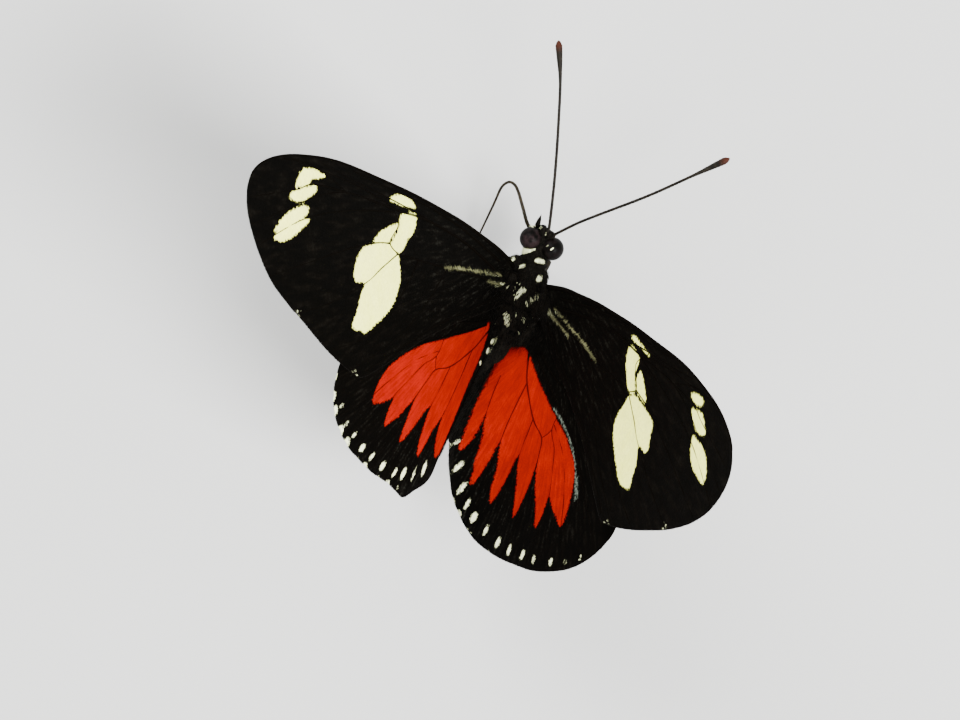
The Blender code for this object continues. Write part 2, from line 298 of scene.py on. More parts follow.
# u runs outward and v forward from a wing's hinge; raised, pitch and sweep are degrees
wingShapes = {
    "forewing_left": {"side": 1, "hinge": (1.72, 2.4, 9.5), "raised": 63.1, "pitch": -10.5, "sweep": 25.7,
                      "camber": (-2.35, -1.5, -2.8, -1.15, 1.05, 0.95, -0.1), "fold": 0.0,
                      "root": ((-0.9, 0.95), (-0.2, -1.6)), "edgeBand": 0.3, "inner": ((4.2, -1.8), (1.8, -1.9))},
    "forewing_right": {"side": -1, "hinge": (2.22, 1.7, 9.5), "raised": 63.5, "pitch": 9.7, "sweep": 37.3,
                       "camber": (-0.55, -1.75, 3.6, 0.95, -1.15, -0.75, -0.3), "fold": 0.0,
                       "root": ((-1.4, 0.6), (-0.5, -1.6)), "edgeBand": 0.3, "inner": ((4.2, -1.8), (1.8, -1.9))},
    "hindwing_left": {"side": 1, "hinge": (1.52, -1.9, 8.0), "raised": 59.5, "pitch": -4.5, "sweep": -8.2,
                      "camber": (0.55, 1.4, 0.25, 0.2, -0.15, -0.75, 0.4), "fold": -0.85,
                      "root": ((0.1, 1.9), (-1.2, -0.9)), "edgeBand": 0.58,
                      "inner": ((6.2, -19.45), (4.4, -19.6), (2.8, -18.4), (1.0, -17.2), (0.15, -16.0), (0.0, -14.4),
                                (-0.4, -12.7), (-0.85, -11.3), (-1.0, -8.5), (-1.05, -5.5), (-1.0, -3.0))},
    "hindwing_right": {"side": -1, "hinge": (2.02, -2.4, 7.75), "raised": 46.1, "pitch": 0.8, "sweep": 8.3,
                       "camber": (1.05, -3.2, 0.15, 1.1, -1.3, 2.0, -0.7), "fold": 2.4,
                       "root": ((-1.0, 2.2), (-1.9, -0.9)), "edgeBand": 0.42,
                       "inner": ((5.4, -18.95), (3.3, -18.1), (1.6, -16.8), (0.35, -14.95), (-0.4, -13.4),
                                 (-0.9, -11.8), (-1.15, -10.0), (-1.45, -8.0), (-1.75, -5.5), (-1.95, -3.3))},
}
# the left hindwing's inner part is folded down, and its marks lie a little differently there
wingShapes["hindwing_left"].update({
    "lostVeins": 1, "streaks": (),
    "red": (((1.3, -0.45), (0.6, -2.4), (0.4, -4.4), (0.45, -6.7), (0.4, -8.5), (0.2, -10.4), (0.2, -12.1),
             (0.4, -13.8), (1.2, -14.45), (1.7, -14.1), (2.3, -13.5), (2.8, -12.5), (3.1, -11.3), (3.2, -10.1),
             (3.5, -11.3), (4.0, -12.5), (4.4, -13.9), (4.9, -15.4), (5.4, -14.5), (5.8, -13.0), (6.0, -11.6),
             (6.1, -10.6), (6.6, -11.1), (7.0, -12.1), (7.6, -13.5), (8.6, -15.1), (8.9, -14.5), (9.0, -13.2),
             (9.1, -12.0), (9.15, -10.9), (9.8, -11.7), (10.4, -12.8), (11.2, -13.7), (12.1, -14.55), (12.45, -14.1),
             (12.6, -13.4), (12.65, -12.5), (12.65, -11.8), (13.2, -12.15), (14.0, -12.7), (14.9, -13.15),
             (15.65, -13.35), (15.95, -12.85), (16.1, -12.0), (15.9, -10.7), (15.3, -9.4), (14.2, -8.2),
             (12.8, -7.0), (10.9, -5.7), (8.3, -4.45), (6.3, -3.4), (4.2, -2.3), (2.9, -1.5), (2.0, -0.9)),),
    "dots": ((2.6, -16.0, 0.74, 0.36, 1.0), (4.3, -17.05, 0.6, 0.15, 1.0), (6.05, -17.5, 0.58, 0.32, 1.0),
             (7.5, -17.85, 0.46, 0.19, 1.0), (9.8, -17.9, 0.52, 0.36, 1.0), (12.1, -17.65, 0.44, 0.2, 1.0),
             (14.2, -17.5, 0.5, 0.37, 1.0), (16.3, -16.85, 0.38, 0.18, 0.75), (18.3, -16.3, 0.34, 0.25, 0.6),
             (20.2, -15.1, 0.3, 0.18, 0.25), (-0.62, -1.7, 0.3, 0.28, 0.85), (-0.52, -2.72, 0.3, 0.27, 0.75),
             (-0.12, -4.15, 0.2, 0.15, 0.7)),
    "paleEdge": ((23.6, -13.2, 1.0), (22.4, -14.9, 1.1), (21.0, -15.9, 1.0), (18.8, -17.2, 1.1), (17.0, -17.9, 1.0),
                 (14.2, -18.7, 0.4), (12.6, -18.95, 0.8), (9.8, -19.2, 0.4), (7.9, -19.2, 0.7), (6.1, -19.0, 0.3)),
})
# the left forewing's lower streak is short, with a bright mark at the wing's root
wingShapes["forewing_left"].update({
    "streaks": (((2.2, 1.2), (5.3, 2.4), (7.6, 3.3), (10.0, 4.15), (12.2, 4.9)),
                ((1.6, 0.15), (3.0, 0.6), (4.5, 1.25))),
    "dots": ((28.3, -0.6, 0.25, 0.15, 0.15), (35.6, 7.2, 0.3, 0.12, 0.2), (1.67, 0.17, 0.62, 0.13, 1.0)),
})
# both forewings' rims are alike in front and behind
forewingFront = ((0.1, 2.0), (1.5, 3.25), (2.7, 4.2), (4.9, 5.8), (6.9, 7.25), (9.0, 8.7), (10.8, 9.85), (15.4, 12.75))
forewingBack = ((32.4, 2.8), (30.2, 0.6), (28.4, -0.9), (27.0, -1.7), (24.5, -1.65), (20.5, -1.3), (16.0, -1.0),
                (11.0, -1.15), (7.0, -1.55))
# the patches of the right forewing, and its outer rim
wingShapes["forewing_right"].update({
    "outline": (
        *forewingFront, (19.8, 15.25), (25.9, 18.6), (30.6, 20.4), (34.4, 21.35), (37.3, 21.3), (39.0, 20.5),
        (40.05, 19.0), (40.4, 16.8), (39.95, 13.8), (38.5, 10.5), (36.1, 7.0), (34.9, 5.6), *forewingBack),
    "cream": (
        ((16.2, 12.1), (16.9, 12.75), (18.0, 13.1), (19.35, 13.5), (20.4, 13.8), (19.8, 13.45), (18.6, 12.95),
         (17.6, 12.4), (16.7, 12.0)),
        ((16.7, 11.25), (17.4, 11.8), (18.8, 12.05), (19.2, 11.7), (19.35, 10.6), (19.85, 9.85), (20.7, 9.3),
         (19.95, 8.4), (17.9, 9.0), (16.8, 10.0)),
        ((20.1, 11.4), (20.8, 11.35), (22.1, 10.95), (23.0, 10.6), (23.2, 10.3), (22.25, 9.95), (21.1, 9.65),
         (20.3, 10.0), (20.0, 10.65)),
        ((20.15, 8.1), (20.0, 6.3), (20.2, 4.9), (21.2, 3.85), (23.1, 3.15), (25.1, 2.65), (26.4, 2.7), (27.8, 3.5),
         (27.3, 4.4), (26.7, 5.8), (25.6, 7.0), (26.8, 7.55), (27.1, 8.1), (26.6, 8.9), (26.1, 9.6), (25.8, 10.35),
         (24.9, 10.35), (23.4, 9.95), (21.3, 9.3), (20.5, 8.5)),
        ((29.25, 18.0), (29.6, 18.5), (30.3, 19.1), (31.2, 19.55), (31.65, 19.4), (31.5, 18.8),
         (30.8, 18.2), (29.95, 18.0)),
        ((30.4, 17.2), (30.8, 17.65), (31.5, 18.15), (32.1, 18.45), (33.2, 18.25), (33.95, 17.65), (33.6, 17.05),
         (32.55, 16.6), (31.4, 16.6)),
        ((32.3, 15.8), (32.95, 16.1), (33.85, 16.45), (34.75, 16.6), (35.75, 16.4), (36.7, 15.7), (37.15, 14.95),
         (37.1, 14.4), (36.25, 14.2), (34.6, 13.9), (33.45, 14.15), (32.8, 14.8)),
    ),
})
camberSpan, camberChord = 40.0, 20.0
camberTerms = ((2, 0), (1, 1), (0, 2), (3, 0), (2, 1), (1, 2), (0, 3))
foldEdge, foldFade = 6.0, 12.0


# world place, in millimetres, of points on a wing's middle sheet, raised by lift towards its upper side
def wingPlace(wing, u, v, lift=0.0):
    a, b = u / camberSpan, v / camberChord
    bend = sum(c * a ** i * b ** j for c, (i, j) in zip(wing["camber"], camberTerms))
    fold = np.maximum(0, foldEdge - u) / foldEdge
    bend = bend + wing["fold"] * fold ** 2 * np.clip(-v / foldFade, 0, 1) + lift
    turn = Matrix.Rotation(math.radians(-wing["raised"]), 3, "Y") @ Matrix.Rotation(math.radians(wing["pitch"]), 3, "X")
    turn = turn @ Matrix.Rotation(math.radians(-wing["sweep"]), 3, "Z")
    out, forward, up = np.moveaxis(np.stack((u, v, bend), -1) @ np.array(turn).T, -1, 0)
    hinge = wing["hinge"]
    return world(np.stack((wing["side"] * (hinge[0] + out), hinge[1] + forward, hinge[2] + up), -1))


def wingNormal(wing, u, v):
    small = 0.05
    alongU = wingPlace(wing, u + small, v) - wingPlace(wing, u - small, v)
    alongV = wingPlace(wing, u, v + small) - wingPlace(wing, u, v - small)
    normal = np.cross(alongU, alongV)
    normal /= np.linalg.norm(normal, axis=-1, keepdims=True)
    upward = wingPlace(wing, u, v, 0.1) - wingPlace(wing, u, v)
    return normal * np.sign(np.sum(normal * upward, -1, keepdims=True))


forewing = {
    "outline": (
        *forewingFront, (19.8, 15.3), (25.9, 18.7), (30.6, 20.5), (34.4, 21.4), (37.1, 21.4), (38.8, 20.6),
        (39.8, 19.0), (40.1, 16.9), (39.7, 14.0), (38.7, 11.0), (37.0, 8.4), (34.8, 5.7), *forewingBack),
    "tip": (38.8, 20.6), "backCorner": (28.4, -0.9), "grid": (250, 125), "raysFrom": (-12.0, 2.0),
    # each vein with its width at the root and at the rim
    "veins": (
        (((2.2, 2.6), (8.0, 7.3), (14.0, 11.4), (20.0, 14.8), (24.2, 17.4)), 0.36, 0.14),
        (((1.8, 0.9), (8.0, 6.0), (14.0, 9.9), (18.5, 12.1), (23.5, 14.7), (26.0, 15.9), (30.4, 17.75), (33.0, 17.95),
          (39.3, 18.9)), 0.42, 0.1),
        (((13.2, 9.5), (19.0, 13.2), (25.0, 16.9), (28.6, 19.3)), 0.2, 0.1),
        (((18.5, 12.1), (24.0, 15.9), (29.0, 18.7), (32.5, 20.6)), 0.2, 0.1),
        (((26.0, 15.9), (27.8, 17.7), (30.4, 19.7), (33.6, 21.0)), 0.16, 0.09),
        (((26.0, 15.9), (29.5, 16.55), (33.0, 16.65), (39.8, 16.5)), 0.18, 0.1),
        (((19.3, 12.4), (18.9, 11.0), (20.1, 10.2), (20.8, 9.6), (19.8, 8.3)), 0.14, 0.13),
        (((19.2, 12.2), (25.0, 13.9), (30.0, 14.9), (34.2, 15.1), (39.9, 14.4)), 0.18, 0.1),
        (((20.8, 9.6), (23.0, 10.25), (28.0, 10.9), (38.9, 11.4)), 0.18, 0.1),
        (((19.8, 8.3), (22.5, 7.75), (25.2, 7.1), (30.0, 6.7), (35.9, 7.0)), 0.18, 0.1),
        (((16.5, 6.8), (19.0, 5.0), (21.5, 3.4), (25.0, 2.1), (32.0, 2.3)), 0.2, 0.1),
        (((11.5, 4.8), (16.0, 2.4), (21.0, 0.6), (28.9, -0.4)), 0.2, 0.1),
        (((2.0, 0.0), (4.5, 1.4), (7.0, 2.6), (9.5, 3.7), (12.0, 4.75), (16.5, 6.8), (19.8, 8.3)), 0.36, 0.16),
        (((2.2, -0.8), (8.0, -0.5), (14.0, -0.2), (20.0, -0.5), (26.6, -1.2)), 0.3, 0.12),
    ),
    "cream": (
        ((15.8, 11.7), (17.3, 12.1), (18.3, 12.6), (19.6, 13.5), (18.6, 13.6), (17.4, 13.3), (16.4, 12.7)),
        ((15.8, 10.8), (16.2, 10.1), (17.0, 9.35), (17.6, 9.25), (18.5, 8.6), (19.7, 8.35), (20.6, 9.35),
         (19.8, 9.9), (18.9, 10.6), (18.6, 11.2), (18.2, 11.65), (17.5, 11.5), (16.9, 11.55), (16.2, 11.2)),
        ((19.0, 11.0), (19.5, 10.5), (20.9, 9.75), (22.4, 10.1), (23.3, 10.5), (22.6, 10.75),
         (21.9, 11.0), (20.9, 11.1)),
        ((19.85, 8.3), (19.6, 7.4), (19.7, 6.2), (20.3, 5.1), (21.5, 3.9), (23.1, 3.2), (25.0, 2.7), (26.4, 2.5),
         (26.7, 2.95), (27.3, 3.0), (28.0, 3.7), (27.3, 4.6), (26.6, 5.7), (26.1, 6.5), (25.45, 7.05), (26.6, 7.5),
         (26.9, 8.0), (26.7, 8.8), (26.1, 9.6), (25.2, 10.3), (23.8, 10.35), (22.5, 10.1), (21.1, 9.75), (20.5, 9.15)),
        ((28.4, 18.0), (29.4, 18.05), (30.35, 18.3), (30.9, 17.95), (31.8, 17.95), (32.9, 18.1), (32.4, 18.75),
         (31.3, 19.4), (30.2, 19.15), (29.1, 18.55)),
        ((29.9, 17.4), (30.6, 16.95), (32.0, 16.75), (33.3, 16.85), (34.1, 17.5), (33.4, 17.9),
         (32.0, 17.85), (30.7, 17.7)),
        ((31.7, 15.75), (32.8, 15.25), (34.3, 15.0), (37.0, 15.0), (36.2, 15.7), (35.1, 16.15),
         (33.6, 16.4), (32.3, 16.3)),
        ((31.9, 14.9), (33.2, 14.35), (34.8, 14.0), (36.3, 14.0), (37.3, 14.45), (36.9, 14.9),
         (35.2, 15.05), (33.2, 15.15)),
    ),
    "red": (),
    # (u, v, half length, half width, brightness) of the small pale dots
    "dots": ((28.3, -0.6, 0.25, 0.15, 0.15), (35.6, 7.2, 0.3, 0.12, 0.2)),
    "dotDirection": (-1.0, -0.4),
    "streaks": (((2.2, 1.15), (5.3, 2.3), (8.9, 3.75), (12.6, 4.85)),
                ((1.0, -0.05), (2.4, 0.35), (3.8, 0.85), (6.3, 1.8))),
    "streakWidth": 0.3,
    "fringe": 0.14,
    "paleEdge": ((28.0, -1.2, 0.4), (35.6, 6.7, 0.4)),
}

hindwing = {
    "outline": (
        (2.0, 1.6), (7.0, -0.2), (12.0, -2.5), (17.0, -5.2), (21.0, -7.9), (23.2, -10.0), (23.5, -12.0), (22.7, -14.2),
        (21.1, -16.0), (18.8, -17.3), (16.4, -18.2), (13.8, -18.7), (11.0, -19.1), (8.0, -19.2)),
    "tip": (23.5, -12.0), "backCorner": (3.2, -18.2), "grid": (180, 160), "raysFrom": (2.0, 4.0),
    "veins": (
        (((2.3, -0.45), (4.3, -1.35), (8.0, -2.5), (15.0, -5.2), (22.4, -9.4)), 0.3, 0.12),
        (((1.8, -0.75), (4.5, -2.3), (8.2, -4.15), (13.0, -6.75), (17.0, -9.6), (22.9, -13.2)), 0.28, 0.1),
        (((8.2, -4.3), (8.3, -6.1), (9.8, -7.4), (10.9, -8.9), (12.3, -10.9), (12.8, -11.9),
          (13.9, -14.5), (15.2, -18.3)), 0.11, 0.1),
        (((8.3, -5.6), (11.5, -7.6), (14.4, -10.6), (17.2, -13.9), (20.3, -16.2)), 0.05, 0.08),
        (((8.3, -6.1), (8.0, -6.8), (7.6, -7.3)), 0.08, 0.08),
        (((0.9, -1.1), (2.35, -3.35), (3.8, -4.9), (5.5, -6.35), (7.6, -7.3), (8.4, -8.8), (9.05, -10.4), (10.2, -14.0),
          (11.4, -18.7)), 0.24, 0.1),
        (((5.3, -6.2), (5.6, -8.2), (6.0, -10.3), (6.5, -14.5), (7.0, -18.9)), 0.14, 0.1),
        (((2.5, -3.5), (2.6, -5.6), (2.8, -8.0), (3.3, -11.0), (3.9, -14.5), (4.6, -18.6)), 0.16, 0.1),
        (((-0.5, -4.2), (-0.1, -6.1), (0.45, -8.2), (0.9, -9.9), (1.3, -13.0), (2.2, -16.9)), 0.12, 0.1),
    ),
    "cream": (),
    "red": (
        ((-1.4, -1.35), (-1.8, -2.6), (-1.5, -4.6), (-1.15, -6.4), (-0.7, -8.6), (-0.25, -10.6), (0.1, -12.2),
         (0.45, -11.8), (0.6, -10.4), (0.5, -9.2), (0.35, -7.9), (0.9, -9.2), (1.45, -10.9), (1.9, -12.8),
         (2.45, -14.75), (2.8, -14.1), (3.0, -12.3), (3.0, -10.6), (3.1, -9.7), (3.6, -10.8), (4.2, -12.3),
         (4.75, -14.0), (5.6, -15.4), (5.85, -14.4), (5.9, -12.5), (5.8, -10.9), (5.9, -9.9), (6.5, -10.9),
         (7.4, -12.1), (8.4, -13.6), (9.6, -15.15), (9.7, -14.3), (9.4, -12.3), (9.0, -10.7), (8.7, -9.6),
         (9.4, -10.6), (10.6, -12.0), (11.8, -13.2), (13.3, -14.7), (13.2, -13.5), (12.8, -12.2), (12.7, -11.5),
         (13.8, -12.2), (15.1, -12.8), (16.4, -13.25), (16.4, -12.4), (15.75, -11.1), (14.95, -9.6), (14.05, -8.3),
         (12.8, -7.2), (10.8, -6.1), (8.4, -5.05), (6.5, -4.3), (4.0, -3.0), (2.4, -2.05), (1.4, -1.4), (0.1, -0.85),
         (-0.6, -1.0)),),
    "dots": ((0.75, -13.85, 0.64, 0.19, 1.0), (-0.45, -11.95, 0.55, 0.15, 0.6), (1.95, -15.4, 0.64, 0.21, 1.0),
             (3.22, -16.45, 0.55, 0.21, 1.0), (4.68, -17.3, 0.56, 0.35, 1.0), (7.15, -17.62, 0.48, 0.23, 1.0),
             (9.7, -17.85, 0.54, 0.33, 1.0), (11.82, -17.8, 0.48, 0.22, 1.0), (13.95, -17.45, 0.5, 0.27, 1.0),
             (15.8, -17.15, 0.4, 0.17, 0.75), (18.15, -16.35, 0.4, 0.25, 1.0), (20.0, -15.6, 0.26, 0.18, 0.25),
             (21.5, -14.5, 0.26, 0.16, 0.15)),
    "dotDirection": (4.0, -2.0),
    "streaks": (((7.2, -4.3), (9.2, -4.95), (11.2, -5.95), (12.8, -7.05), (14.1, -8.2), (15.2, -9.3), (16.1, -10.4)),
                ((14.6, -8.45), (15.5, -9.35), (16.3, -10.2))),
    "streakWidth": 0.15,
    "fringe": 0.16,
    # (u, v, strength) of the pale marks on the fringe
    "paleEdge": ((1.75, -16.95, 0.6), (2.9, -17.8, 0.7), (4.7, -18.7, 0.35), (5.4, -18.8, 0.3), (9.2, -19.2, 0.3)),
}


# a wing's shared plan with what is its own
def planOf(name):
    shared = forewing if name.startswith("forewing") else hindwing
    return {**shared, **wingShapes[name]}


# the wing's rim as one closed line from the front of its root, drawn in by the fringe's depth
def wingRim(wing, plan):
    rim = smoothLine([wing["root"][0], *plan["outline"], *wing["inner"], wing["root"][1]], 0.25)
    before, after = np.roll(rim, 1, 0), np.roll(rim, -1, 0)
    before[0], after[-1] = rim[0], rim[-1]
    along = after - before
    along /= np.linalg.norm(along, axis=1, keepdims=True)
    inward = np.stack((along[:, 1], -along[:, 0]), -1)
    # the rim is notched a little where its fringe is pale
    for *pale, strength in plan["paleEdge"]:
        away = np.linalg.norm(rim - np.array(pale), axis=1, keepdims=True)
        rim = rim + inward * 0.1 * strength * np.exp(-(away / 0.45) ** 2)
    along = lengthsAlong(rim)
    tipAt = along[np.argmin(np.linalg.norm(rim - plan["tip"], axis=1))]
    depth = np.interp(along, (0, 3, tipAt - 6, tipAt, along[-1] - 4, along[-1]), (0, 0.05, 0.1, 1, 1, 0))
    return rim + inward * (depth * plan["fringe"])[:, None], rim


def cornerAt(line, point):
    return int(np.argmin(np.linalg.norm(line - np.array(point), axis=1)))


# a primitive grid, laid over the wing's plan between its four sides
def wingSheet(name, wing, plan):
    across, along = plan["grid"]
    bpy.ops.object.select_all(action="DESELECT")
    bpy.ops.mesh.primitive_grid_add(x_subdivisions=across, y_subdivisions=along, size=2)
    sheet = bpy.context.object
    sheet.name = name
    flat = coordinates(sheet)
    s, t = (flat[:, 0] + 1) / 2, (flat[:, 1] + 1) / 2
    rim, _ = wingRim(wing, plan)
    tip, back = cornerAt(rim, plan["tip"]), cornerAt(rim, plan["backCorner"])
    steps = 600  # along each side
    leading = spread(rim[:tip + 1], steps)
    outer = spread(rim[tip:back + 1][::-1], steps)
    inner = spread(rim[back:][::-1], steps)
    root = spread(np.array((rim[-1], rim[0])), steps)

    def at(side, x):
        return np.stack([np.interp(x, np.linspace(0, 1, steps), side[:, k]) for k in (0, 1)], -1)

    s2, t2 = s[:, None], t[:, None]
    places = ((1 - t2) * at(inner, s) + t2 * at(leading, s) + (1 - s2) * at(root, t) + s2 * at(outer, t)
              - (1 - s2) * (1 - t2) * inner[0] - s2 * (1 - t2) * inner[-1] - (1 - s2) * t2 * leading[0]
              - s2 * t2 * leading[-1])
    return sheet, places[:, 0], places[:, 1]


# fields start far outside any mark; a dim mark's field stays within the soft edge of the dots
fieldLook = {"outside": -5.0, "softEdge": 0.06, "dotRange": 0.14, "markRange": 0.16, "rayDistance": 15}


def dotField(plan, u, v):
    best = np.full(u.shape, fieldLook["outside"])
    fromU, fromV = plan["dotDirection"]
    for du, dv, halfLength, halfWidth, bright in plan["dots"]:
        toward = np.array((du - fromU, dv - fromV))
        toward /= np.linalg.norm(toward)
        x = (u - du) * toward[0] + (v - dv) * toward[1]
        y = -(u - du) * toward[1] + (v - dv) * toward[0]
        value = (1 - np.hypot(x / halfLength, y / halfWidth)) * halfWidth
        if bright < 1:
            value = np.minimum(value, bright * fieldLook["dotRange"] - fieldLook["softEdge"])
        best = np.maximum(best, value)
    return best


def patchField(patches, u, v):
    best = np.full(u.shape, fieldLook["outside"])
    for patch in patches:
        best = np.maximum(best, insideDistance(smoothLine(patch, 0.25, True), u, v))
    return best


def streakField(plan, u, v):
    best = np.full(u.shape, fieldLook["outside"])
    for streak in plan["streaks"]:
        line = smoothLine(streak, 0.3)
        best = np.maximum(best, plan["streakWidth"] - lineDistance(line, u, v))
    return best


def veinsOf(plan):
    return plan["veins"][:len(plan["veins"]) - plan.get("lostVeins", 0)]


def markWing(obj, plan, u, v):
    setField(obj, "cream", patchField(plan["cream"], u, v))
    setField(obj, "red", patchField(plan["red"], u, v))
    rim = lineDistance(smoothLine(plan["outline"] + plan["inner"], 0.4), u, v)
    # the pale marks of the fringe reach a little way in from the rim
    dots = dotField(plan, u, v)
    for pu, pv, strength in plan["paleEdge"]:
        mark = np.minimum(0.5 * strength - np.hypot(u - pu, v - pv), plan["edgeBand"] - rim)
        brightest = strength * fieldLook["markRange"] - fieldLook["softEdge"]
        dots = np.maximum(dots, np.minimum(mark * 0.7, brightest))
    setField(obj, "dots", dots)
    setField(obj, "streak", streakField(plan, u, v))
    nearest = np.full(u.shape, 9.0)
    for line, _, _ in veinsOf(plan):
        nearest = np.minimum(nearest, lineDistance(smoothLine(line, 0.5), u, v))
    setField(obj, "vein", nearest)
    setField(obj, "rim", rim)
    setField(obj, "spanwise", u)
    setField(obj, "chordwise", v)
    # the scales and hairs run outward from the root: distance along a ray, and millimetres across the rays
    fromU, fromV = plan["raysFrom"]
    setField(obj, "alongRay", np.hypot(u - fromU, v - fromV))
    setField(obj, "acrossRay", np.arctan2(v - fromV, u - fromU) * fieldLook["rayDistance"])


wingLook = {"thickness": 0.1, "pleat": 0.05, "ripple": 0.025, "veinLift": 0.02}


def buildWing(name, material, underMaterial):
    wing, plan = wingShapes[name], planOf(name)
    sheet, u, v = wingSheet(name + "_sheet", wing, plan)
    markWing(sheet, plan, u, v)
    # the membrane sags a little between its veins and ripples towards the rim
    toVein = getField(sheet, "vein")
    toRim = getField(sheet, "rim")
    pleat = -wingLook["pleat"] * (1 - np.exp(-(toVein / 0.9) ** 2)) * np.clip(toRim / 2, 0, 1)
    waves = np.sin(u * 1.9 + v * 0.7) * np.sin(v * 1.3 - u * 0.35)
    pleat = pleat + wingLook["ripple"] * waves * np.clip(toRim / 3, 0, 1)
    setCoordinates(sheet, wingPlace(wing, u, v, pleat))
    middle = len(sheet.data.polygons) // 2
    upward = wingNormal(wing, u[:1], v[:1])[0]
    facing = np.mean([np.dot(sheet.data.polygons[i].normal, upward) for i in range(middle, middle + 40)])
    if facing < 0:
        sheet.data.flip_normals()
    sheet.data.materials.append(material)
    sheet.data.materials.append(underMaterial)
    useModifier(sheet, "SOLIDIFY", thickness=wingLook["thickness"], offset=0.0, material_offset=1,
                material_offset_rim=0)
    bakeMap(sheet)
    settle(sheet, None, "wing", name)
    return sheet


# the baking map of a wing: its upper side in the lower half of the square, its under side in the upper half
def bakeMap(obj):
    u, v = getField(obj, "spanwise"), getField(obj, "chordwise")
    x = (u - u.min()) / (u.max() - u.min())
    y = (v - v.min()) / (v.max() - v.min())
    corners = arrayOf(obj.data.loops, "vertex_index")
    under = np.repeat(arrayOf(obj.data.polygons, "material_index"), arrayOf(obj.data.polygons, "loop_total"))
    places = np.stack((0.01 + 0.98 * x[corners], 0.005 + 0.485 * y[corners] + 0.505 * under), -1)
    setBakeMap(obj, places)


def setBakeMap(obj, places):
    layer = obj.data.uv_layers.new(name="OFBake")
    layer.data.foreach_set("uv", np.clip(places, 0, 1).astype(np.float32).ravel())


# One tube mesh for many lines, from a curve with a round bevel. Each line is (points, radii) in millimetres.
def tubes(name, lines, fineness=2):
    curve = bpy.data.curves.new(name, "CURVE")
    curve.dimensions = "3D"
    curve.bevel_depth = 1.0
    curve.bevel_resolution = fineness
    curve.use_fill_caps = True
    for points, radii in lines:
        spline = curve.splines.new("POLY")
        spline.points.add(len(points) - 1)
        for place, point, radius in zip(spline.points, points, radii):
            place.co = (*point, 1.0)
            place.radius = radius
    obj = bpy.data.objects.new(name, curve)
    bpy.context.scene.collection.objects.link(obj)
    selectOnly(obj)
    bpy.ops.object.convert(target="MESH")
    obj = bpy.context.object
    turnOutward(obj, 0.0005)
    return obj


def copyFields(fromPoints, sheet, obj, names):
    tree = KDTree(len(fromPoints))
    for i, point in enumerate(fromPoints):
        tree.insert(point, i)
    tree.balance()
    nearest = [tree.find(point)[1] for point in coordinates(obj)]
    for name in names:
        setField(obj, name, getField(sheet, name)[nearest])


def buildVeins(name, sheet, material):
    wing, plan = wingShapes[name], planOf(name)
    rim, _ = wingRim(wing, plan)
    lines = []
    for line, rootWidth, rimWidth in veinsOf(plan):
        path = smoothLine(line, 0.45)
        path = path[insideDistance(rim, path[:, 0], path[:, 1]) > 0.05]
        along = np.linspace(0, 1, len(path))
        radii = np.maximum(0.5 * (rootWidth + (rimWidth - rootWidth) * along ** 0.7), wingLook["thickness"] * 0.5)
        lines.append((wingPlace(wing, path[:, 0], path[:, 1], wingLook["veinLift"]), radii))
    tip = cornerAt(rim, plan["tip"])
    # the vein on the front rim
    steps = 110
    costa = spread(rim[2:tip], steps)
    radii = np.interp(np.arange(steps), (0, 20, steps - 1), (0.26, 0.2, 0.09))
    lines.append((wingPlace(wing, costa[:, 0], costa[:, 1]), radii))
    veins = tubes(name + "_veins", lines, 1)
    copyFields(coordinates(sheet) / toMetres, sheet, veins, ("cream", "red", "dots", "streak", "rim"))
    return settle(veins, material, "wing")


# shares of a tuft's width, and how deep its root is sunken
tuftLook = {"sunken": 0.04, "thin": 0.45, "waist": 0.42, "corners": 7}


# Tufts: many tapered, bent, three-sided blades in one mesh.
def tuftMesh(name, roots, along, normals, lengths, widths, lift, curl, mapPlaces, fields):
    count = len(roots)
    along = along - normals * np.sum(along * normals, -1, keepdims=True)
    along /= np.maximum(np.linalg.norm(along, axis=1, keepdims=True), 1e-9)
    across = np.cross(normals, along)
    lift, curl = np.broadcast_to(lift, count)[:, None], np.broadcast_to(curl, count)[:, None]
    first = along * np.cos(lift) + normals * np.sin(lift)
    second = along * np.cos(lift - curl) + normals * np.sin(lift - curl)
    lengths, widths = np.broadcast_to(lengths, count)[:, None], np.broadcast_to(widths, count)[:, None]
    middle = roots + first * lengths * 0.5
    tip = middle + second * lengths * 0.5
    base = roots - normals * tuftLook["sunken"]
    thin, waist = tuftLook["thin"], tuftLook["waist"]
    points = np.stack((base - across * widths / 2, base + across * widths / 2, base + normals * widths * thin,
                       middle - across * widths * waist, middle + across * widths * waist,
                       middle + np.cross(first, across) * -widths * thin, tip), 1)
    faces = np.array(((0, 1, 4, 3), (1, 2, 5, 4), (2, 0, 3, 5)))
    ends = np.array(((3, 4, 6), (4, 5, 6), (5, 3, 6), (2, 1, 0)))
    starts = (np.arange(count) * tuftLook["corners"])[:, None, None]
    quads = (faces[None] + starts).reshape(-1, 4)
    triangles = (ends[None] + starts).reshape(-1, 3)
    mesh = bpy.data.meshes.new(name)
    mesh.from_pydata(points.reshape(-1, 3).tolist(), [], quads.tolist() + triangles.tolist())
    obj = bpy.data.objects.new(name, mesh)
    bpy.context.scene.collection.objects.link(obj)
    # a patch of the baking map about 0.003 across for each tuft, at its root's place
    turns = np.radians((90, 210, 330, 30, 150, 270))
    reach = np.array((0.0015, 0.0015, 0.0015, 0.0009, 0.0009, 0.0009))
    offsets = np.vstack((np.stack((np.cos(turns) * reach, np.sin(turns) * reach), -1), (0, 0)))
    perVertex = (mapPlaces[:, None, :] + offsets[None]).reshape(-1, 2)
    setBakeMap(obj, perVertex[arrayOf(mesh.loops, "vertex_index")])
    for key, values in fields.items():
        setField(obj, key, np.repeat(values, tuftLook["corners"]))
    setField(obj, "toTip", np.tile((0, 0, 0, 0.5, 0.5, 0.5, 1), count))
    turnOutward(obj)
    return obj


fringeLook = {"spacing": 0.07, "length": 0.3, "width": 0.11, "layers": 2}


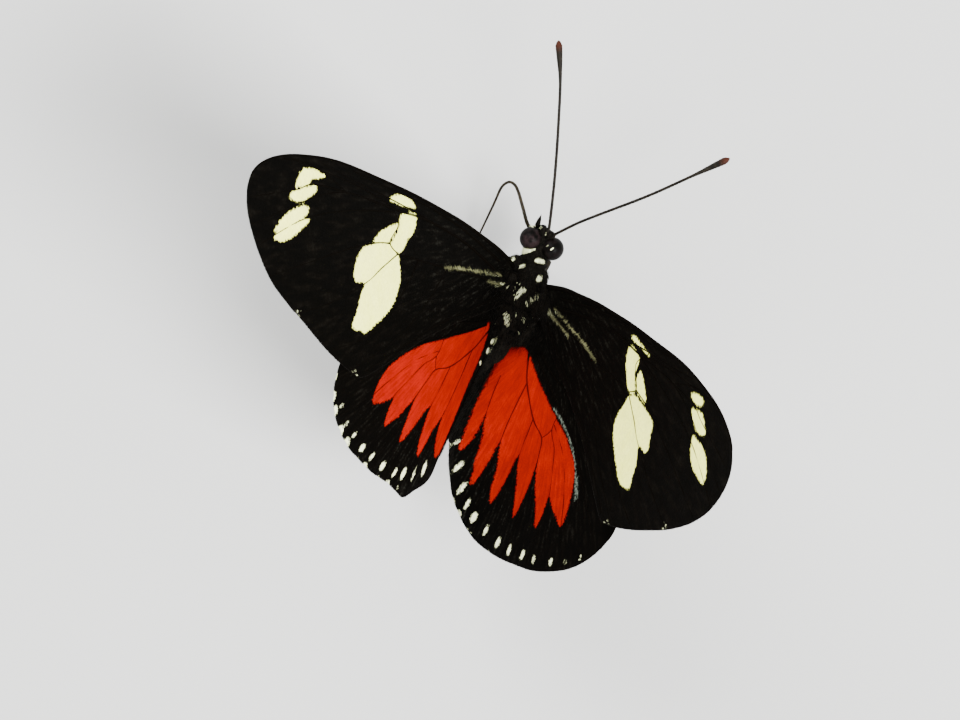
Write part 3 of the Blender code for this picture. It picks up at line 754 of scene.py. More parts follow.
# the short fringe of scales round a wing's outer and inner rim, pale at the ends of the cells
def buildFringe(name, material):
    wing, plan = wingShapes[name], planOf(name)
    rng = np.random.default_rng(len(name) * 7 + (1 if wing["side"] > 0 else 2))
    drawnIn, rim = wingRim(wing, plan)
    start = cornerAt(rim, plan["tip"])
    inner, outer = drawnIn[start - 8:], rim[start - 8:]
    count = int(lengthsAlong(inner)[-1] / fringeLook["spacing"]) * fringeLook["layers"]
    inner, outer = spread(inner, count), spread(outer, count)
    outward = outer - inner
    outward /= np.maximum(np.linalg.norm(outward, axis=1, keepdims=True), 1e-6)
    along = np.gradient(inner, axis=0)
    along /= np.linalg.norm(along, axis=1, keepdims=True)
    outward = outward + along * rng.normal(0, 0.16, (count, 1))
    gap = np.linalg.norm(outer - inner, axis=1)
    roots2d = inner - outward * 0.1
    roots = wingPlace(wing, roots2d[:, 0], roots2d[:, 1], rng.uniform(-0.03, 0.03, count))
    ends = wingPlace(wing, roots2d[:, 0] + outward[:, 0], roots2d[:, 1] + outward[:, 1])
    normals = wingNormal(wing, roots2d[:, 0], roots2d[:, 1])
    lengths = np.minimum(gap + 0.1, fringeLook["length"]) * rng.uniform(0.68, 0.86, count)
    pale = np.zeros(count)
    for pu, pv, strength in plan["paleEdge"]:
        distance = np.hypot(outer[:, 0] - pu, outer[:, 1] - pv)
        pale = np.maximum(pale, min(strength, 1) * np.clip((0.6 * strength - distance) / 0.12, 0, 1))
    pale *= rng.uniform(0.75, 1, count)
    mapPlaces = np.stack((np.linspace(0.01, 0.99, count), rng.uniform(0.3, 0.7, count)), -1)
    fringe = tuftMesh(name + "_fringe", roots, ends - roots, normals, lengths, fringeLook["width"], 0.02, 0.05,
                      mapPlaces, {"pale": pale, "shade": rng.uniform(0, 1, count)})
    return settle(fringe, material, "wing")


# Body skin

headPlace = {"middle": (0.08, 6.78, 8.2), "turn": 6.0}


def headPoint(sideways, forward, up):
    turn = math.radians(headPlace["turn"])
    middle = headPlace["middle"]
    return (middle[0] + sideways * math.cos(turn) - forward * math.sin(turn),
            middle[1] + forward * math.cos(turn) + sideways * math.sin(turn), middle[2] + up)


abdomen = {
    "path": ((0.27, -2.8, 7.75), (0.34, -3.9, 7.05), (0.5, -5.2, 6.1), (0.75, -7.0, 5.25), (1.05, -9.2, 4.6),
             (1.3, -11.4, 3.75), (1.5, -13.2, 3.0), (1.62, -14.2, 2.55)),
    "radii": (0.6, 0.8, 0.99, 1.09, 1.06, 0.95, 0.72, 0.45),
    "rings": 8,
}

# (middle, half sizes) of the soft forms that are melted into one skin: sideways, forward, up
skinForms = {
    "neck": ((0.32, 5.6, 8.05), (1.25, 0.75, 1.0)),
    "collar": ((0.3, 4.95, 8.3), (1.3, 0.6, 1.15)),
    "leftShoulder": ((1.8, 4.05, 9.0), (0.72, 0.95, 0.5)),
    "leftWingCap": ((2.5, 4.2, 9.15), (0.45, 0.35, 0.4)),
    "rightShoulder": ((-1.1, 3.5, 9.0), (0.55, 1.0, 0.5)),
    "rightWingCap": ((-1.7, 2.75, 9.15), (0.45, 0.55, 0.45)),
    "foreBack": ((0.08, 3.4, 8.35), (1.5, 1.6, 1.75)),
    "back": ((0.08, 1.7, 8.35), (1.75, 2.0, 1.95)),
    "hindBack": ((0.16, -0.3, 8.15), (1.62, 1.75, 1.8)),
    "shield": ((0.13, -0.4, 9.35), (0.85, 0.85, 0.5)),
    "breast": ((0.05, 2.6, 7.2), (1.3, 2.2, 1.15)),
    "rear": ((0.24, -2.0, 7.9), (1.2, 1.0, 1.15)),
    "waist": ((0.27, -2.9, 7.6), (0.85, 0.8, 0.8)),
}


def ball(middle, half, turn=0.0):
    bpy.ops.object.select_all(action="DESELECT")
    bpy.ops.mesh.primitive_uv_sphere_add(segments=32, ring_count=20, radius=1.0)
    obj = bpy.context.object
    obj.data.transform(Matrix.Diagonal((half[0], half[1], half[2], 1)))
    obj.data.transform(Matrix.Rotation(math.radians(turn), 4, "Z"))
    obj.data.transform(Matrix.Translation(Vector(world(middle))))
    return obj


def buildSkin(material):
    forms = [ball(middle, half) for middle, half in skinForms.values()]
    turn = headPlace["turn"]
    forms.append(ball(headPoint(0, 0.0, -0.05), (0.8, 1.22, 0.88), -turn))
    forms.append(ball(headPoint(0, 0.9, -0.35), (0.85, 0.6, 0.85), -turn))
    for side in (1, -1):
        forms.append(ball(headPoint(side * 0.38, 1.1, 0.7), (0.32, 0.45, 0.35), -turn))
    forms.append(ball(headPoint(1.42, 1.02, 0.0), (0.26, 0.22, 0.34), -turn))
    for side in (1, -1):
        for forward, low in ((3.9, 6.6), (1.4, 6.35), (-0.6, 6.45)):
            forms.append(ball((side * 0.72, forward, low), (0.5, 0.62, 0.75)))
    for wing in wingShapes.values():
        front, back = np.array(wing["root"])
        for share in (0.2, 0.5, 0.8):
            u, v = front + (back - front) * share
            spot = body(wingPlace(wing, np.array([u + 0.9]), np.array([v]))[0])
            spot[0] -= wing["side"] * 0.3
            forms.append(ball(spot, (0.6, 0.6, 0.55)))
    line = smoothLine(abdomen["path"], 0.1)
    along = lengthsAlong(line)
    steps = lengthsAlong(np.array(abdomen["path"]))
    radii = np.interp(along, steps * along[-1] / steps[-1], abdomen["radii"])
    # each ring of the abdomen swells a little and narrows to the next
    share = along / along[-1] * abdomen["rings"]
    radii = radii * (0.93 + 0.09 * np.abs(np.sin(math.pi * share)) ** 0.6)
    forms.append(tubes("abdomen_core", [(world(line), radii)], 10))
    forms.append(ball(line[-1], (0.36, 0.42, 0.36)))
    skin = joinAll(forms, "body_skin")
    useModifier(skin, "REMESH", mode="VOXEL", voxel_size=0.1)
    useModifier(skin, "SMOOTH", factor=0.5, iterations=3)
    turnOutward(skin)
    markBody(skin, body(coordinates(skin)))
    return settle(skin, material, "body_scales", "head", "thorax", "abdomen")


# the pale spots on the upper side, each from one place to another (sideways, forward), its half width and strength
paleSpots = (
    ((1.5, 5.45), (0.75, 6.05), 0.27, 1.0), ((-0.05, 5.03), (-0.5, 5.17), 0.2, 1.0),
    ((1.22, 3.98), (0.95, 4.15), 0.13, 1.0), ((2.43, 3.85), (2.08, 4.42), 0.1, 1.0),
    ((-0.8, 3.4), (-0.8, 3.58), 0.21, 1.0), ((0.62, 1.15), (0.3, 1.85), 0.3, 0.52),
    ((1.08, 1.6), (0.98, 1.95), 0.1, 0.7), ((-0.65, 0.8), (-1.15, 1.75), 0.27, 0.42),
    ((1.8, 1.6), (1.9, 1.8), 0.12, 0.6), ((0.8, -1.0), (0.58, -1.6), 0.34, 0.58),
    ((-0.74, -0.7), (-0.86, -0.95), 0.16, 0.58), ((1.38, 7.88), (1.52, 7.94), 0.12, 1.0),
    ((0.0, 7.66), (0.06, 7.86), 0.06, 0.8), ((-0.5, 6.66), (-0.54, 6.85), 0.07, 0.95),
    ((1.2, -3.5), (1.25, -3.85), 0.24, 0.9), ((1.35, -4.4), (1.4, -4.85), 0.22, 0.8),
    ((1.72, -5.95), (1.75, -6.15), 0.16, 0.9),
)


# how pale (0 to 1) the coat is at body points
def paleAt(points):
    pale = np.zeros(len(points))
    upper = np.clip((points[:, 2] - 7.6) / 0.6, 0, 1)
    for start, end, halfWidth, strength in paleSpots:
        distance = lineDistance(np.array((start, end)), points[:, 0], points[:, 1])
        onSide = upper if start[1] > -3 else 1.0
        pale = np.maximum(pale, strength * np.clip(0.6 + (halfWidth - distance) / 0.12, 0, 1) * onSide)
    # a thin pale line along each side of the abdomen, and pale hair between the legs
    line = smoothLine(abdomen["path"], 0.3)
    middleUp = np.interp(-points[:, 1], -line[:, 1], line[:, 2])
    middleSide = np.interp(-points[:, 1], -line[:, 1], line[:, 0])
    tail = points[:, 1] < -3.4
    sideLine = np.exp(-((points[:, 2] - middleUp + 0.35) / 0.16) ** 2) * (0.5 + 0.5 * np.sin(points[:, 1] * 3.7))
    pale = np.where(tail, np.maximum(pale, 0.55 * sideLine), pale)
    under = (points[:, 2] < middleUp - 0.75) & tail & (np.abs(points[:, 0] - middleSide) < 0.3)
    pale = np.where(under, np.maximum(pale, 0.5), pale)
    breast = (points[:, 2] < 6.9) & (points[:, 1] > -2) & (points[:, 1] < 4.2)
    return np.where(breast, np.maximum(pale, 0.25 + 0.25 * np.sin(points[:, 1] * 2.6 + points[:, 0] * 3)), pale)


def markBody(obj, points):
    setField(obj, "pale", paleAt(points))
    setField(obj, "shade", np.full(len(points), 0.5))


# Coat

# each zone: tufts to the square millimetre, length, width, lift from the skin in radians
coatZones = {
    "head": {"density": 110, "length": 0.34, "width": 0.055, "lift": 0.4, "curl": 0.3, "limits": (6.0, 99)},
    "collar": {"density": 95, "length": 0.4, "width": 0.065, "lift": 0.35, "curl": 0.3, "limits": (2.9, 6.0)},
    "thorax": {"density": 72, "length": 0.8, "width": 0.06, "lift": 0.42, "curl": 0.45, "limits": (-3.2, 2.9)},
    "abdomen": {"density": 95, "length": 0.34, "width": 0.085, "lift": 0.16, "curl": 0.18, "limits": (-99, -3.2)},
}


def scatter(obj, density, seed):
    rng = np.random.default_rng(seed)
    mesh = obj.data
    mesh.calc_loop_triangles()
    corners = arrayOf(mesh.loop_triangles, "vertices", 3)
    points = coordinates(obj) / toMetres
    normals = arrayOf(mesh.vertices, "normal", 3, float)
    a, b, c = (points[corners[:, k]] for k in range(3))
    areas = np.linalg.norm(np.cross(b - a, c - a), axis=1) / 2
    count = int(areas.sum() * density)
    chosen = rng.choice(len(areas), count, p=areas / areas.sum())
    r1, r2 = np.sqrt(rng.uniform(size=(count, 1))), rng.uniform(size=(count, 1))
    w = (1 - r1, r1 * (1 - r2), r1 * r2)
    places = sum(w[k] * points[corners[chosen, k]] for k in range(3))
    out = sum(w[k] * normals[corners[chosen, k]] for k in range(3))
    return places, out / np.linalg.norm(out, axis=1, keepdims=True), rng


def buildCoat(skin, material):
    spine = smoothLine(abdomen["path"], 0.3)
    for zone, look in coatZones.items():
        places, normals, rng = scatter(skin, look["density"], 11 + len(zone))
        here = body(places)
        low, high = look["limits"]
        keep = (here[:, 1] > low) & (here[:, 1] <= high)
        if zone == "head":  # the eyes cover the sides of the head
            turn, (middleSide, middleForward, middleUp) = math.radians(headPlace["turn"]), headPlace["middle"]
            x, y = here[:, 0] - middleSide, here[:, 1] - middleForward
            side, ahead = np.abs(x * math.cos(turn) + y * math.sin(turn)), y * math.cos(turn) - x * math.sin(turn)
            depth = ((side - eye["middle"]) / eye["radii"][0], ahead / eye["radii"][1],
                     (here[:, 2] - middleUp) / eye["radii"][2])
            keep &= np.linalg.norm(depth, axis=0) > 0.98
        places, normals, here = places[keep], normals[keep], here[keep]
        count = len(places)
        # the coat lies backward, and down the sides
        back = np.tile((0.0, 1.0, 0.0), (count, 1))
        if zone == "abdomen":
            slope = np.gradient(spine[:, 2]) / np.gradient(-spine[:, 1])
            back[:, 2] = np.interp(-here[:, 1], -spine[:, 1], slope)
        sideways = normals[:, :1] * np.array((1.0, 0, 0)) * 0.45
        along = back + sideways + rng.normal(0, 0.22, (count, 3))
        # the spots are where the tufts show, half a tuft behind their roots
        shown = here + np.array((0, -0.5, 0)) * look["length"]
        pale = np.clip(paleAt(shown) + rng.normal(0, 0.1, count), 0, 1)
        lengths = look["length"] * rng.uniform(0.65, 1.15, count)
        if zone == "thorax":  # its spots are pale hairs among dark ones
            pale = np.where(pale > rng.uniform(0.15, 1.1, count), 1.0, 0.0)
            under = here[:, 2] < 7.2
            lengths = np.where(under, lengths * 0.75, lengths) * (1 - 0.3 * pale)
        lift = look["lift"] + rng.normal(0, 0.12, count)
        middleUp = np.interp(-here[:, 1], (-9, 2.9, 14.5), (8.2, 7.8, 2.5))
        turn = np.arctan2(here[:, 0], here[:, 2] - middleUp) / (2 * math.pi) + 0.5
        span = (here[:, 1] - here[:, 1].min()) / np.ptp(here[:, 1])
        mapPlaces = np.stack((0.01 + 0.98 * span, 0.01 + 0.98 * turn), -1)
        coat = tuftMesh("coat_" + zone, places, along, normals, lengths, look["width"] * rng.uniform(0.8, 1.2, count),
                        lift, look["curl"], mapPlaces, {"pale": pale, "shade": rng.uniform(0, 1, count)})
        settle(coat, material, "body_scales")


# long hairs on the wings' bases and along the hindwings' inner rims, which hide where the wings join the body
wingHair = {
    "forewing": {"count": 1100, "reach": 5.0, "length": (0.6, 1.1), "width": 0.05, "lean": (0.9, 0.1)},
    "hindwing": {"count": 1100, "reach": 2.4, "length": (0.5, 1.0), "width": 0.05, "lean": (0.05, -0.95)},
}


def buildWingHair(name, material):
    wing, plan = wingShapes[name], planOf(name)
    kind = name.split("_")[0]
    look = wingHair[kind]
    rng = np.random.default_rng(31 + len(name))
    rim, _ = wingRim(wing, plan)
    front, back = np.array(wing["root"])
    tries = look["count"] * 8
    share = rng.uniform(0, 1, tries)
    reach = rng.exponential(look["reach"] / 3, tries)
    u = front[0] + (back[0] - front[0]) * share + reach
    v = front[1] + (back[1] - front[1]) * share + rng.normal(0, 0.8, tries) * reach * 0.35
    if kind == "hindwing":  # half of them stand along the inner rim
        inner = spread(rim[cornerAt(rim, plan["backCorner"]):], tries)
        useRim = rng.uniform(0, 1, tries) < 0.5
        u = np.where(useRim, inner[:, 0] + rng.uniform(0.12, 0.45, tries), u)
        v = np.where(useRim, inner[:, 1], v)
    keep = rng.permutation(np.flatnonzero((insideDistance(rim, u, v) > 0.1) & (v > -13.5)))[:look["count"]]
    u, v, reach = u[keep], v[keep], reach[keep]
    count = len(u)
    above = np.where(rng.uniform(0, 1, count) < 0.8, 1.0, -1.0)
    half = wingLook["thickness"] / 2
    roots = wingPlace(wing, u, v, above * half)
    normals = wingNormal(wing, u, v) * above[:, None]
    leanU, leanV = look["lean"]
    ends = wingPlace(wing, u + leanU, v + leanV)
    lengths = rng.uniform(*look["length"], count) * np.clip(1.2 - reach / look["reach"] * 0.6, 0.5, 1)
    streak = np.where(streakField(plan, u, v) > rng.uniform(0, 0.25, count), 0.46, 0) * (kind == "forewing")
    # the pale marks at the wing's root lie on short hairs, half a hair behind their roots
    marked = (dotField(plan, u + leanU * 0.2, v + leanV * 0.2) > 0.0) & (v > -6) & (u < 6)
    streak = np.where(marked, 0.8, streak)
    lengths = np.where(marked, 0.45, lengths)
    red = np.clip(patchField(plan["red"], u, v) / 0.3, 0, 1)
    along = ends - roots + rng.normal(0, 0.15, (count, 3))
    mapPlaces = np.stack((0.02 + 0.96 * (u - u.min()) / np.ptp(u), 0.02 + 0.96 * (v - v.min()) / np.ptp(v)), -1)
    hair = tuftMesh(name + "_hair", roots, along, normals, lengths, look["width"], 0.14, 0.12, mapPlaces,
                    {"pale": streak, "red": red * (above > 0), "shade": rng.uniform(0, 1, count)})
    return settle(hair, material, "wing")


# Eyes, feelers, tongue, palps and legs

# shade says how strongly the top of each eye is painted with sheen
eye = {"middle": 1.115, "radii": (1.13, 1.15, 1.3), "shade": {1: 1.0, -1: 0.3},
       # small painted glints on the right one
       "paintedGlints": {1: (), -1: (((-0.54, -0.05), (-0.63, 0.12), 0.03), ((-1.05, -0.15), (-1.18, 0.08), 0.06))}}


def buildEye(name, side, material):
    bpy.ops.object.select_all(action="DESELECT")
    bpy.ops.mesh.primitive_uv_sphere_add(segments=64, ring_count=40, radius=1.0)
    obj = bpy.context.object
    obj.name = name + "_globe"
    points = coordinates(obj) * eye["radii"] + (side * eye["middle"], 0, 0)
    # painted sheen: paler towards the top of the eye, scaled by the eye's shade
    setField(obj, "shade", eye["shade"][side] * np.clip(points[:, 2] / eye["radii"][2] * 1.6 - 0.35, 0, 1))
    # painted glints: white streaks on the top of the right eye
    fleck = np.full(len(points), -1.0)
    for start, end, halfWidth in eye["paintedGlints"][side]:
        fleck = np.maximum(fleck, halfWidth - lineDistance(np.array((start, end)), points[:, 0], points[:, 1]))
    setField(obj, "fleck", np.where(points[:, 2] > 0, fleck, -1.0))
    setCoordinates(obj, world([headPoint(*point) for point in points]))
    turnOutward(obj)
    return settle(obj, material, "eye", name)


feelers = {
    "antenna_left": ((-0.1, 7.9, 8.8), (-0.05, 8.3, 9.1), (0.0, 8.75, 9.35), (0.78, 12.0, 10.15), (1.65, 15.2, 11.0),
                     (2.6, 18.4, 11.9), (3.75, 22.0, 12.9), (5.2, 25.5, 13.9)),
    "antenna_right": ((-0.68, 7.6, 8.7), (-0.78, 7.95, 9.0), (-1.05, 8.3, 9.3), (-2.55, 9.85, 9.85), (-4.3, 11.4, 10.4),
                      (-8.0, 14.6, 11.6), (-11.7, 18.2, 12.9), (-14.0, 20.5, 13.7)),
}
feelerLook = {"shaft": 0.15, "club": 0.36, "clubLength": 4.6, "ring": 0.42, "groove": 0.12}


def buildFeeler(name, material):
    path = smoothLine(feelers[name], 0.07)
    along = lengthsAlong(path)
    toTip = along[-1] - along
    share = np.clip(1 - toTip / feelerLook["clubLength"], 0, 1)
    radii = feelerLook["shaft"] + (feelerLook["club"] - feelerLook["shaft"]) * (3 * share ** 2 - 2 * share ** 3)
    ringLength = np.where(toTip < feelerLook["clubLength"], 0.3, feelerLook["ring"])
    phase = np.cumsum(np.gradient(along) / ringLength)
    radii = radii * (1 - feelerLook["groove"] * np.clip(np.cos(2 * math.pi * phase) - 0.55, 0, 1) / 0.45)
    radii = radii * np.sqrt(np.clip(toTip / 0.55, 0.02, 1)) * (1 + 0.8 * np.exp(-along / 0.25))
    obj = tubes(name + "_rings", [(world(path), radii)], 4)
    here = body(coordinates(obj))
    nearest = np.linalg.norm(here - path[-1], axis=1)
    setField(obj, "toTip", nearest)
    return settle(obj, material, "antenna", name)


tongue = {
    "path": ((0.16, 7.32, 7.25), (0.2, 7.4, 6.3), (0.8, 7.6, 5.95), (1.9, 8.0, 6.1), (2.95, 9.4, 6.7),
             (3.9, 10.7, 7.0), (4.5, 11.25, 6.9), (5.1, 11.3, 6.4), (5.6, 10.6, 5.5), (5.75, 9.0, 4.2),
             (5.95, 7.0, 2.9), (6.1, 5.6, 2.0), (6.15, 4.9, 1.5)),
    "radius": 0.13, "tip": 0.05,
}


# the tongue is two fine tubes grown together side by side
def buildTongue(material):
    path = smoothLine(tongue["path"], 0.12)
    radii = np.linspace(tongue["radius"], tongue["tip"], len(path))
    radii = radii * (1 + 0.05 * np.cos(np.arange(len(path)) * 1.6))
    aside = np.cross(np.gradient(path, axis=0), (0, 0, 1.0))
    aside /= np.linalg.norm(aside, axis=1, keepdims=True)
    lines = [(world(path + aside * side * radii[:, None] * 0.62), radii) for side in (1, -1)]
    return settle(tubes("proboscis_tube", lines, 3), material, "proboscis", "proboscis")


# the left palp is spread aside, and the right one points up before the face; in the head's own directions
palps = {
    "palp_left": ((0.6, 1.0, -1.2), (0.9, 1.2, -0.85), (1.12, 1.42, -0.35), (1.2, 1.88, 0.08), (1.25, 2.36, 0.35)),
    "palp_right": ((0.1, 1.1, -1.2), (0.38, 1.46, -0.9), (0.62, 1.5, -0.4), (0.7, 1.4, 0.15), (0.7, 1.28, 0.5)),
}
palpRadii = {"palp_left": (0.2, 0.25, 0.27, 0.18, 0.03), "palp_right": (0.2, 0.24, 0.22, 0.18, 0.09)}


def buildPalp(name, side, skinMaterial, coatMaterial):
    path = smoothLine([headPoint(*point) for point in palps[name]], 0.1)
    share = np.linspace(0, 1, len(path))
    radii = np.interp(share, np.linspace(0, 1, 5), palpRadii[name])
    core = tubes(name + "_core", [(world(path), radii)], 3)
    markBody(core, body(coordinates(core)))
    settle(core, skinMaterial, "body_scales", name)
    places, normals, rng = scatter(core, 170, 50 + side)
    count = len(places)
    toward = world(path[-1]) - places
    toward /= np.linalg.norm(toward, axis=1, keepdims=True)
    here = body(places)
    mapPlaces = np.stack((rng.uniform(0.02, 0.98, count), 0.02 + 0.96 * (here[:, 2] - 7) / 2.2), -1)
    # the right palp is pale at its tip, and the left one only low down, out of sight from above
    low = here[:, 2] < 7.8 if side > 0 else here[:, 2] > 8.35
    coat = tuftMesh(name + "_coat", places, toward + rng.normal(0, 0.1, (count, 3)), normals,
                    rng.uniform(0.16, 0.28, count), 0.045, 0.12, 0.02, mapPlaces,
                    {"pale": np.where(low, 0.75, 0.0), "shade": rng.uniform(0, 1, count)})
    return settle(coat, coatMaterial, "body_scales")


# (sideways, forward, up) of each joint from the body outward, for the left side
legs = {
    "foreleg": {"joints": ((0.75, 4.1, 6.45), (0.95, 4.75, 5.8), (1.2, 5.5, 5.2), (1.1, 4.3, 4.8), (0.9, 2.9, 4.95)),
                "radii": (0.24, 0.26, 0.24, 0.22, 0.09), "foot": False},
    "midleg": {"joints": ((0.9, 1.4, 6.4), (1.9, 1.6, 5.0), (4.75, 2.2, 6.1), (6.6, 2.2, 0.75), (9.05, 2.3, 0.16)),
               "radii": (0.28, 0.3, 0.26, 0.2, 0.1), "foot": True},
    "hindleg": {"joints": ((0.9, -0.5, 6.4), (1.7, -1.0, 5.1), (5.3, -4.7, 6.4), (6.85, -8.8, 0.75),
                           (7.65, -11.4, 0.16)),
                "radii": (0.28, 0.3, 0.26, 0.2, 0.1), "foot": True},
}
legLook = {"tarsusRings": 5, "spine": 0.32, "claw": 0.28}


def legPart(start, end, radiusStart, radiusEnd, swell):
    share = np.linspace(0, 1, 14)
    points = np.outer(1 - share, start) + np.outer(share, end)
    radii = radiusStart + (radiusEnd - radiusStart) * share + swell * np.sin(math.pi * share)
    radii = radii * np.sqrt(np.clip(np.minimum(share, 1 - share) * 14, 0.18, 1))
    return world(points), radii


def buildLeg(name, side, material):
    leg = legs[name]
    joints = [np.array(p) * (side, 1, 1) for p in leg["joints"]]
    radii = leg["radii"]
    rng = np.random.default_rng(70 + len(name) + side)
    lines = []
    for i, swell in enumerate((0.05, 0.08, 0.03)):
        over = (joints[i + 1] - joints[i]) * 0.02
        lines.append(legPart(joints[i] - over, joints[i + 1] + over, radii[i], radii[i + 1] * 0.85, swell))
    footStart, footEnd = joints[3], joints[4]
    if leg["foot"]:
        footStart = joints[3] * (1, 1, 0) + np.array((0, 0, 0.2))
        lines.append(legPart(joints[3], footStart, radii[3], radii[3] * 0.8, 0))
    rings = legLook["tarsusRings"]
    shares = np.array((0, 0.45, 0.62, 0.76, 0.87, 1.0)) if leg["foot"] else np.linspace(0, 1, rings + 1)
    for a, b in zip(shares[:-1], shares[1:]):
        p, q = footStart + (footEnd - footStart) * a, footStart + (footEnd - footStart) * b
        r = radii[3] * 0.62 * (1 - 0.35 * a)
        lines.append(legPart(p, q, r * 0.8, r, 0.02))
    # spines in two rows along the shin and the foot
    for start, end, count in ((joints[2], joints[3], 9), (footStart, footEnd, 8)):
        along = (end - start) / np.linalg.norm(end - start)
        aside = np.cross(along, (0, 0, 1.0))
        aside /= np.linalg.norm(aside)
        for k in range(count):
            for row in (1, -1):
                root = start + (end - start) * (k + 0.5 + 0.3 * rng.uniform(-1, 1)) / count
                point = root + aside * row * legLook["spine"] * 0.6 + along * legLook["spine"] * 0.8
                middle = (root + point) / 2 + aside * row * 0.03
                lines.append((world(np.array((root, middle, point))), (0.035, 0.025, 0.006)))
    if leg["foot"]:
        along = (footEnd - footStart) / np.linalg.norm(footEnd - footStart)
        aside = np.cross(along, (0, 0, 1.0))
        for row in (1, -1):
            hook = np.array([footEnd + aside * row * 0.06, footEnd + along * 0.12 + aside * row * 0.14 + (0, 0, 0.07),
                             footEnd + along * 0.24 + aside * row * 0.16 + (0, 0, 0.0),
                             footEnd + along * 0.27 + aside * row * 0.13 + (0, 0, -0.13)])
            lines.append((world(smoothLine(hook, 0.05)), np.linspace(0.05, 0.008, len(smoothLine(hook, 0.05)))))
    suffix = "_left" if side > 0 else "_right"
    obj = tubes(name + suffix + "_joints", lines, 2)
    return settle(obj, material, "leg", name + suffix)


# Materials

colours = {
    "black": (0.0007, 0.0006, 0.0004, 1), "blackWarm": (0.0022, 0.0016, 0.001, 1),
    "cream": (0.97, 0.98, 0.26, 1), "creamDeep": (0.93, 0.96, 0.18, 1),
    "red": (0.178, 0.0024, 0.0003, 1), "redBright": (0.26, 0.0042, 0.0003, 1), "redDeep": (0.045, 0.001, 0.0003, 1),
    "white": (0.88, 0.92, 0.55, 1), "grey": (0.03, 0.032, 0.026, 1), "straw": (0.25, 0.25, 0.12, 1),
    "silver": (0.13, 0.16, 0.125, 1), "bodyPale": (0.58, 0.6, 0.36, 1),
    "veinRed": (0.05, 0.002, 0.0005, 1), "veinCream": (0.10, 0.105, 0.03, 1), "veinCreamDeep": (0.05, 0.05, 0.015, 1),
    "underBrown": (0.022, 0.014, 0.009, 1), "underRed": (0.18, 0.04, 0.024, 1), "underCream": (0.5, 0.46, 0.26, 1),
    # the paler eye colour is painted sheen
    "eyeDark": (0.0012, 0.0012, 0.0009, 1), "eyeSheen": (0.017, 0.0105, 0.011, 1),
    "facetEdge": (0.001, 0.0007, 0.0007, 1), "coatBrown": (0.006, 0.0048, 0.0032, 1),
    "fringeBrown": (0.004, 0.003, 0.002, 1), "hairBrown": (0.0045, 0.0036, 0.0024, 1), "rust": (0.03, 0.008, 0.004, 1),
    "feeler": (0.003, 0.0025, 0.0018, 1), "feelerPale": (0.009, 0.007, 0.0045, 1),
    "leg": (0.0035, 0.003, 0.002, 1), "legPale": (0.013, 0.01, 0.006, 1),
    "tongue": (0.007, 0.0055, 0.0035, 1), "tonguePale": (0.02, 0.015, 0.008, 1),
}
scaleSize = {"long": 0.15, "wide": 0.085}


# small overlapping scales, as a cell number and a height, along and across the rays from the wing's root
def wingScales(wire):
    u, v = field(wire, "alongRay"), field(wire, "acrossRay")
    place = flatPlace(wire, u * (1 / scaleSize["long"]), v * (1 / scaleSize["wide"]))
    cells = cellsOf(wire, place, 1.0, "Color", 0.8, voronoi_dimensions="2D")
    height = cellsOf(wire, place, 1.0, "Distance", 0.8, voronoi_dimensions="2D")
    each = wire.node("ShaderNodeSeparateColor", {}, {0: cells})
    return each, height, flatPlace(wire, u, v)


def wingMaterial(name, kind, upper):
    shine = {"Specular_IOR_Level": 0.014, "Sheen_Weight": 0.002, "Sheen_Roughness": 0.5,
             "Sheen_Tint": (0.75, 0.68, 0.55, 1)}
    material, wire, shader = newMaterial(name, **shine)
    each, height, flat = wingScales(wire)
    soft = noiseOf(wire, flat, 0.5)
    fine = noiseOf(wire, flat, 4.0)
    combed = noiseOf(wire, stretched(flat, (0.45, 4.2, 1.0)), 1.0, 4.0)
    ragged = (each - 0.5) * 0.24 + (fine - 0.5) * 0.34 + (soft - 0.5) * 0.3
    base = combed.step(0.42, 0.78).blend(colours["black"], colours["blackWarm"])
    if not upper:
        base = soft.step(0.35, 0.7).blend(colours["blackWarm"], colours["underBrown"])
    # pale hair scales lie thinly over the dark ground, most of them near the root
    hairs = (combed * 0.7 + fine * 0.3 - each * 0.12).step(0.50, 0.62)
    spanwise, chordwise = field(wire, "spanwise"), field(wire, "chordwise")
    nearRoot = 1 - spanwise.step(3.0, 24.0)
    base = (hairs * (nearRoot * 0.2 + 0.04)).blend(base, colours["grey"])
    if kind == "forewing":
        cream = (field(wire, "cream") + ragged * 0.8).step(-0.09, 0.11)
        deep = (soft * 0.6 + fine * 0.4).step(0.3, 0.75)
        paint = deep.blend(colours["cream" if upper else "underCream"], colours["creamDeep"])
        base = cream.blend(base, paint)
        # short pale hairs lie across the streaks at the wing's root
        slanted = flatPlace(wire, spanwise * 5.5 - chordwise * 3.0, spanwise * 0.5 + chordwise * 0.9)
        across = noiseOf(wire, slanted, 1.0, 2.0)
        bright = spanwise.step(2.0, 7.0) * (1 - spanwise.step(9.5, 12.8)) * 0.28 + 0.15
        streak = (field(wire, "streak") * 3.0 + (across - 0.5) * 3.2 + (each - 0.5) * 0.5).step(0.2, 1.1)
        base = (streak * bright).blend(base, colours["straw"])
    else:
        sunken = -0.35 if not upper else 0.0
        red = (field(wire, "red") + ragged * 0.7 + sunken).step(-0.09, 0.1)
        lit = (combed * 0.6 + soft * 0.4).step(0.36, 0.66)
        ground = lit.blend(colours["red"], colours["redBright"])
        if not upper:
            ground = soft.step(0.4, 0.6).blend(colours["underRed"], colours["underBrown"])
        base = red.blend(base, ground)
        silver = (field(wire, "streak") + (fine - 0.5) * 0.7 + (each - 0.5) * 0.15).step(-0.04, 0.24)
        base = (silver * (1 - red) * 0.75).blend(base, colours["silver"])
    dots = (field(wire, "dots") + ragged * 0.5).step(-0.06, 0.1)
    base = dots.blend(base, colours["white"])
    base = (each * 0.14).blend(base, (0.0, 0.0, 0.0, 1))
    link(shader, "Base Color", base)
    link(shader, "Normal", bumpOf(wire, height * 0.6 + fine * 0.5 + combed * 0.5, 0.00003, 0.75))
    link(shader, "Roughness", 0.62 + fine * 0.3)
    return material


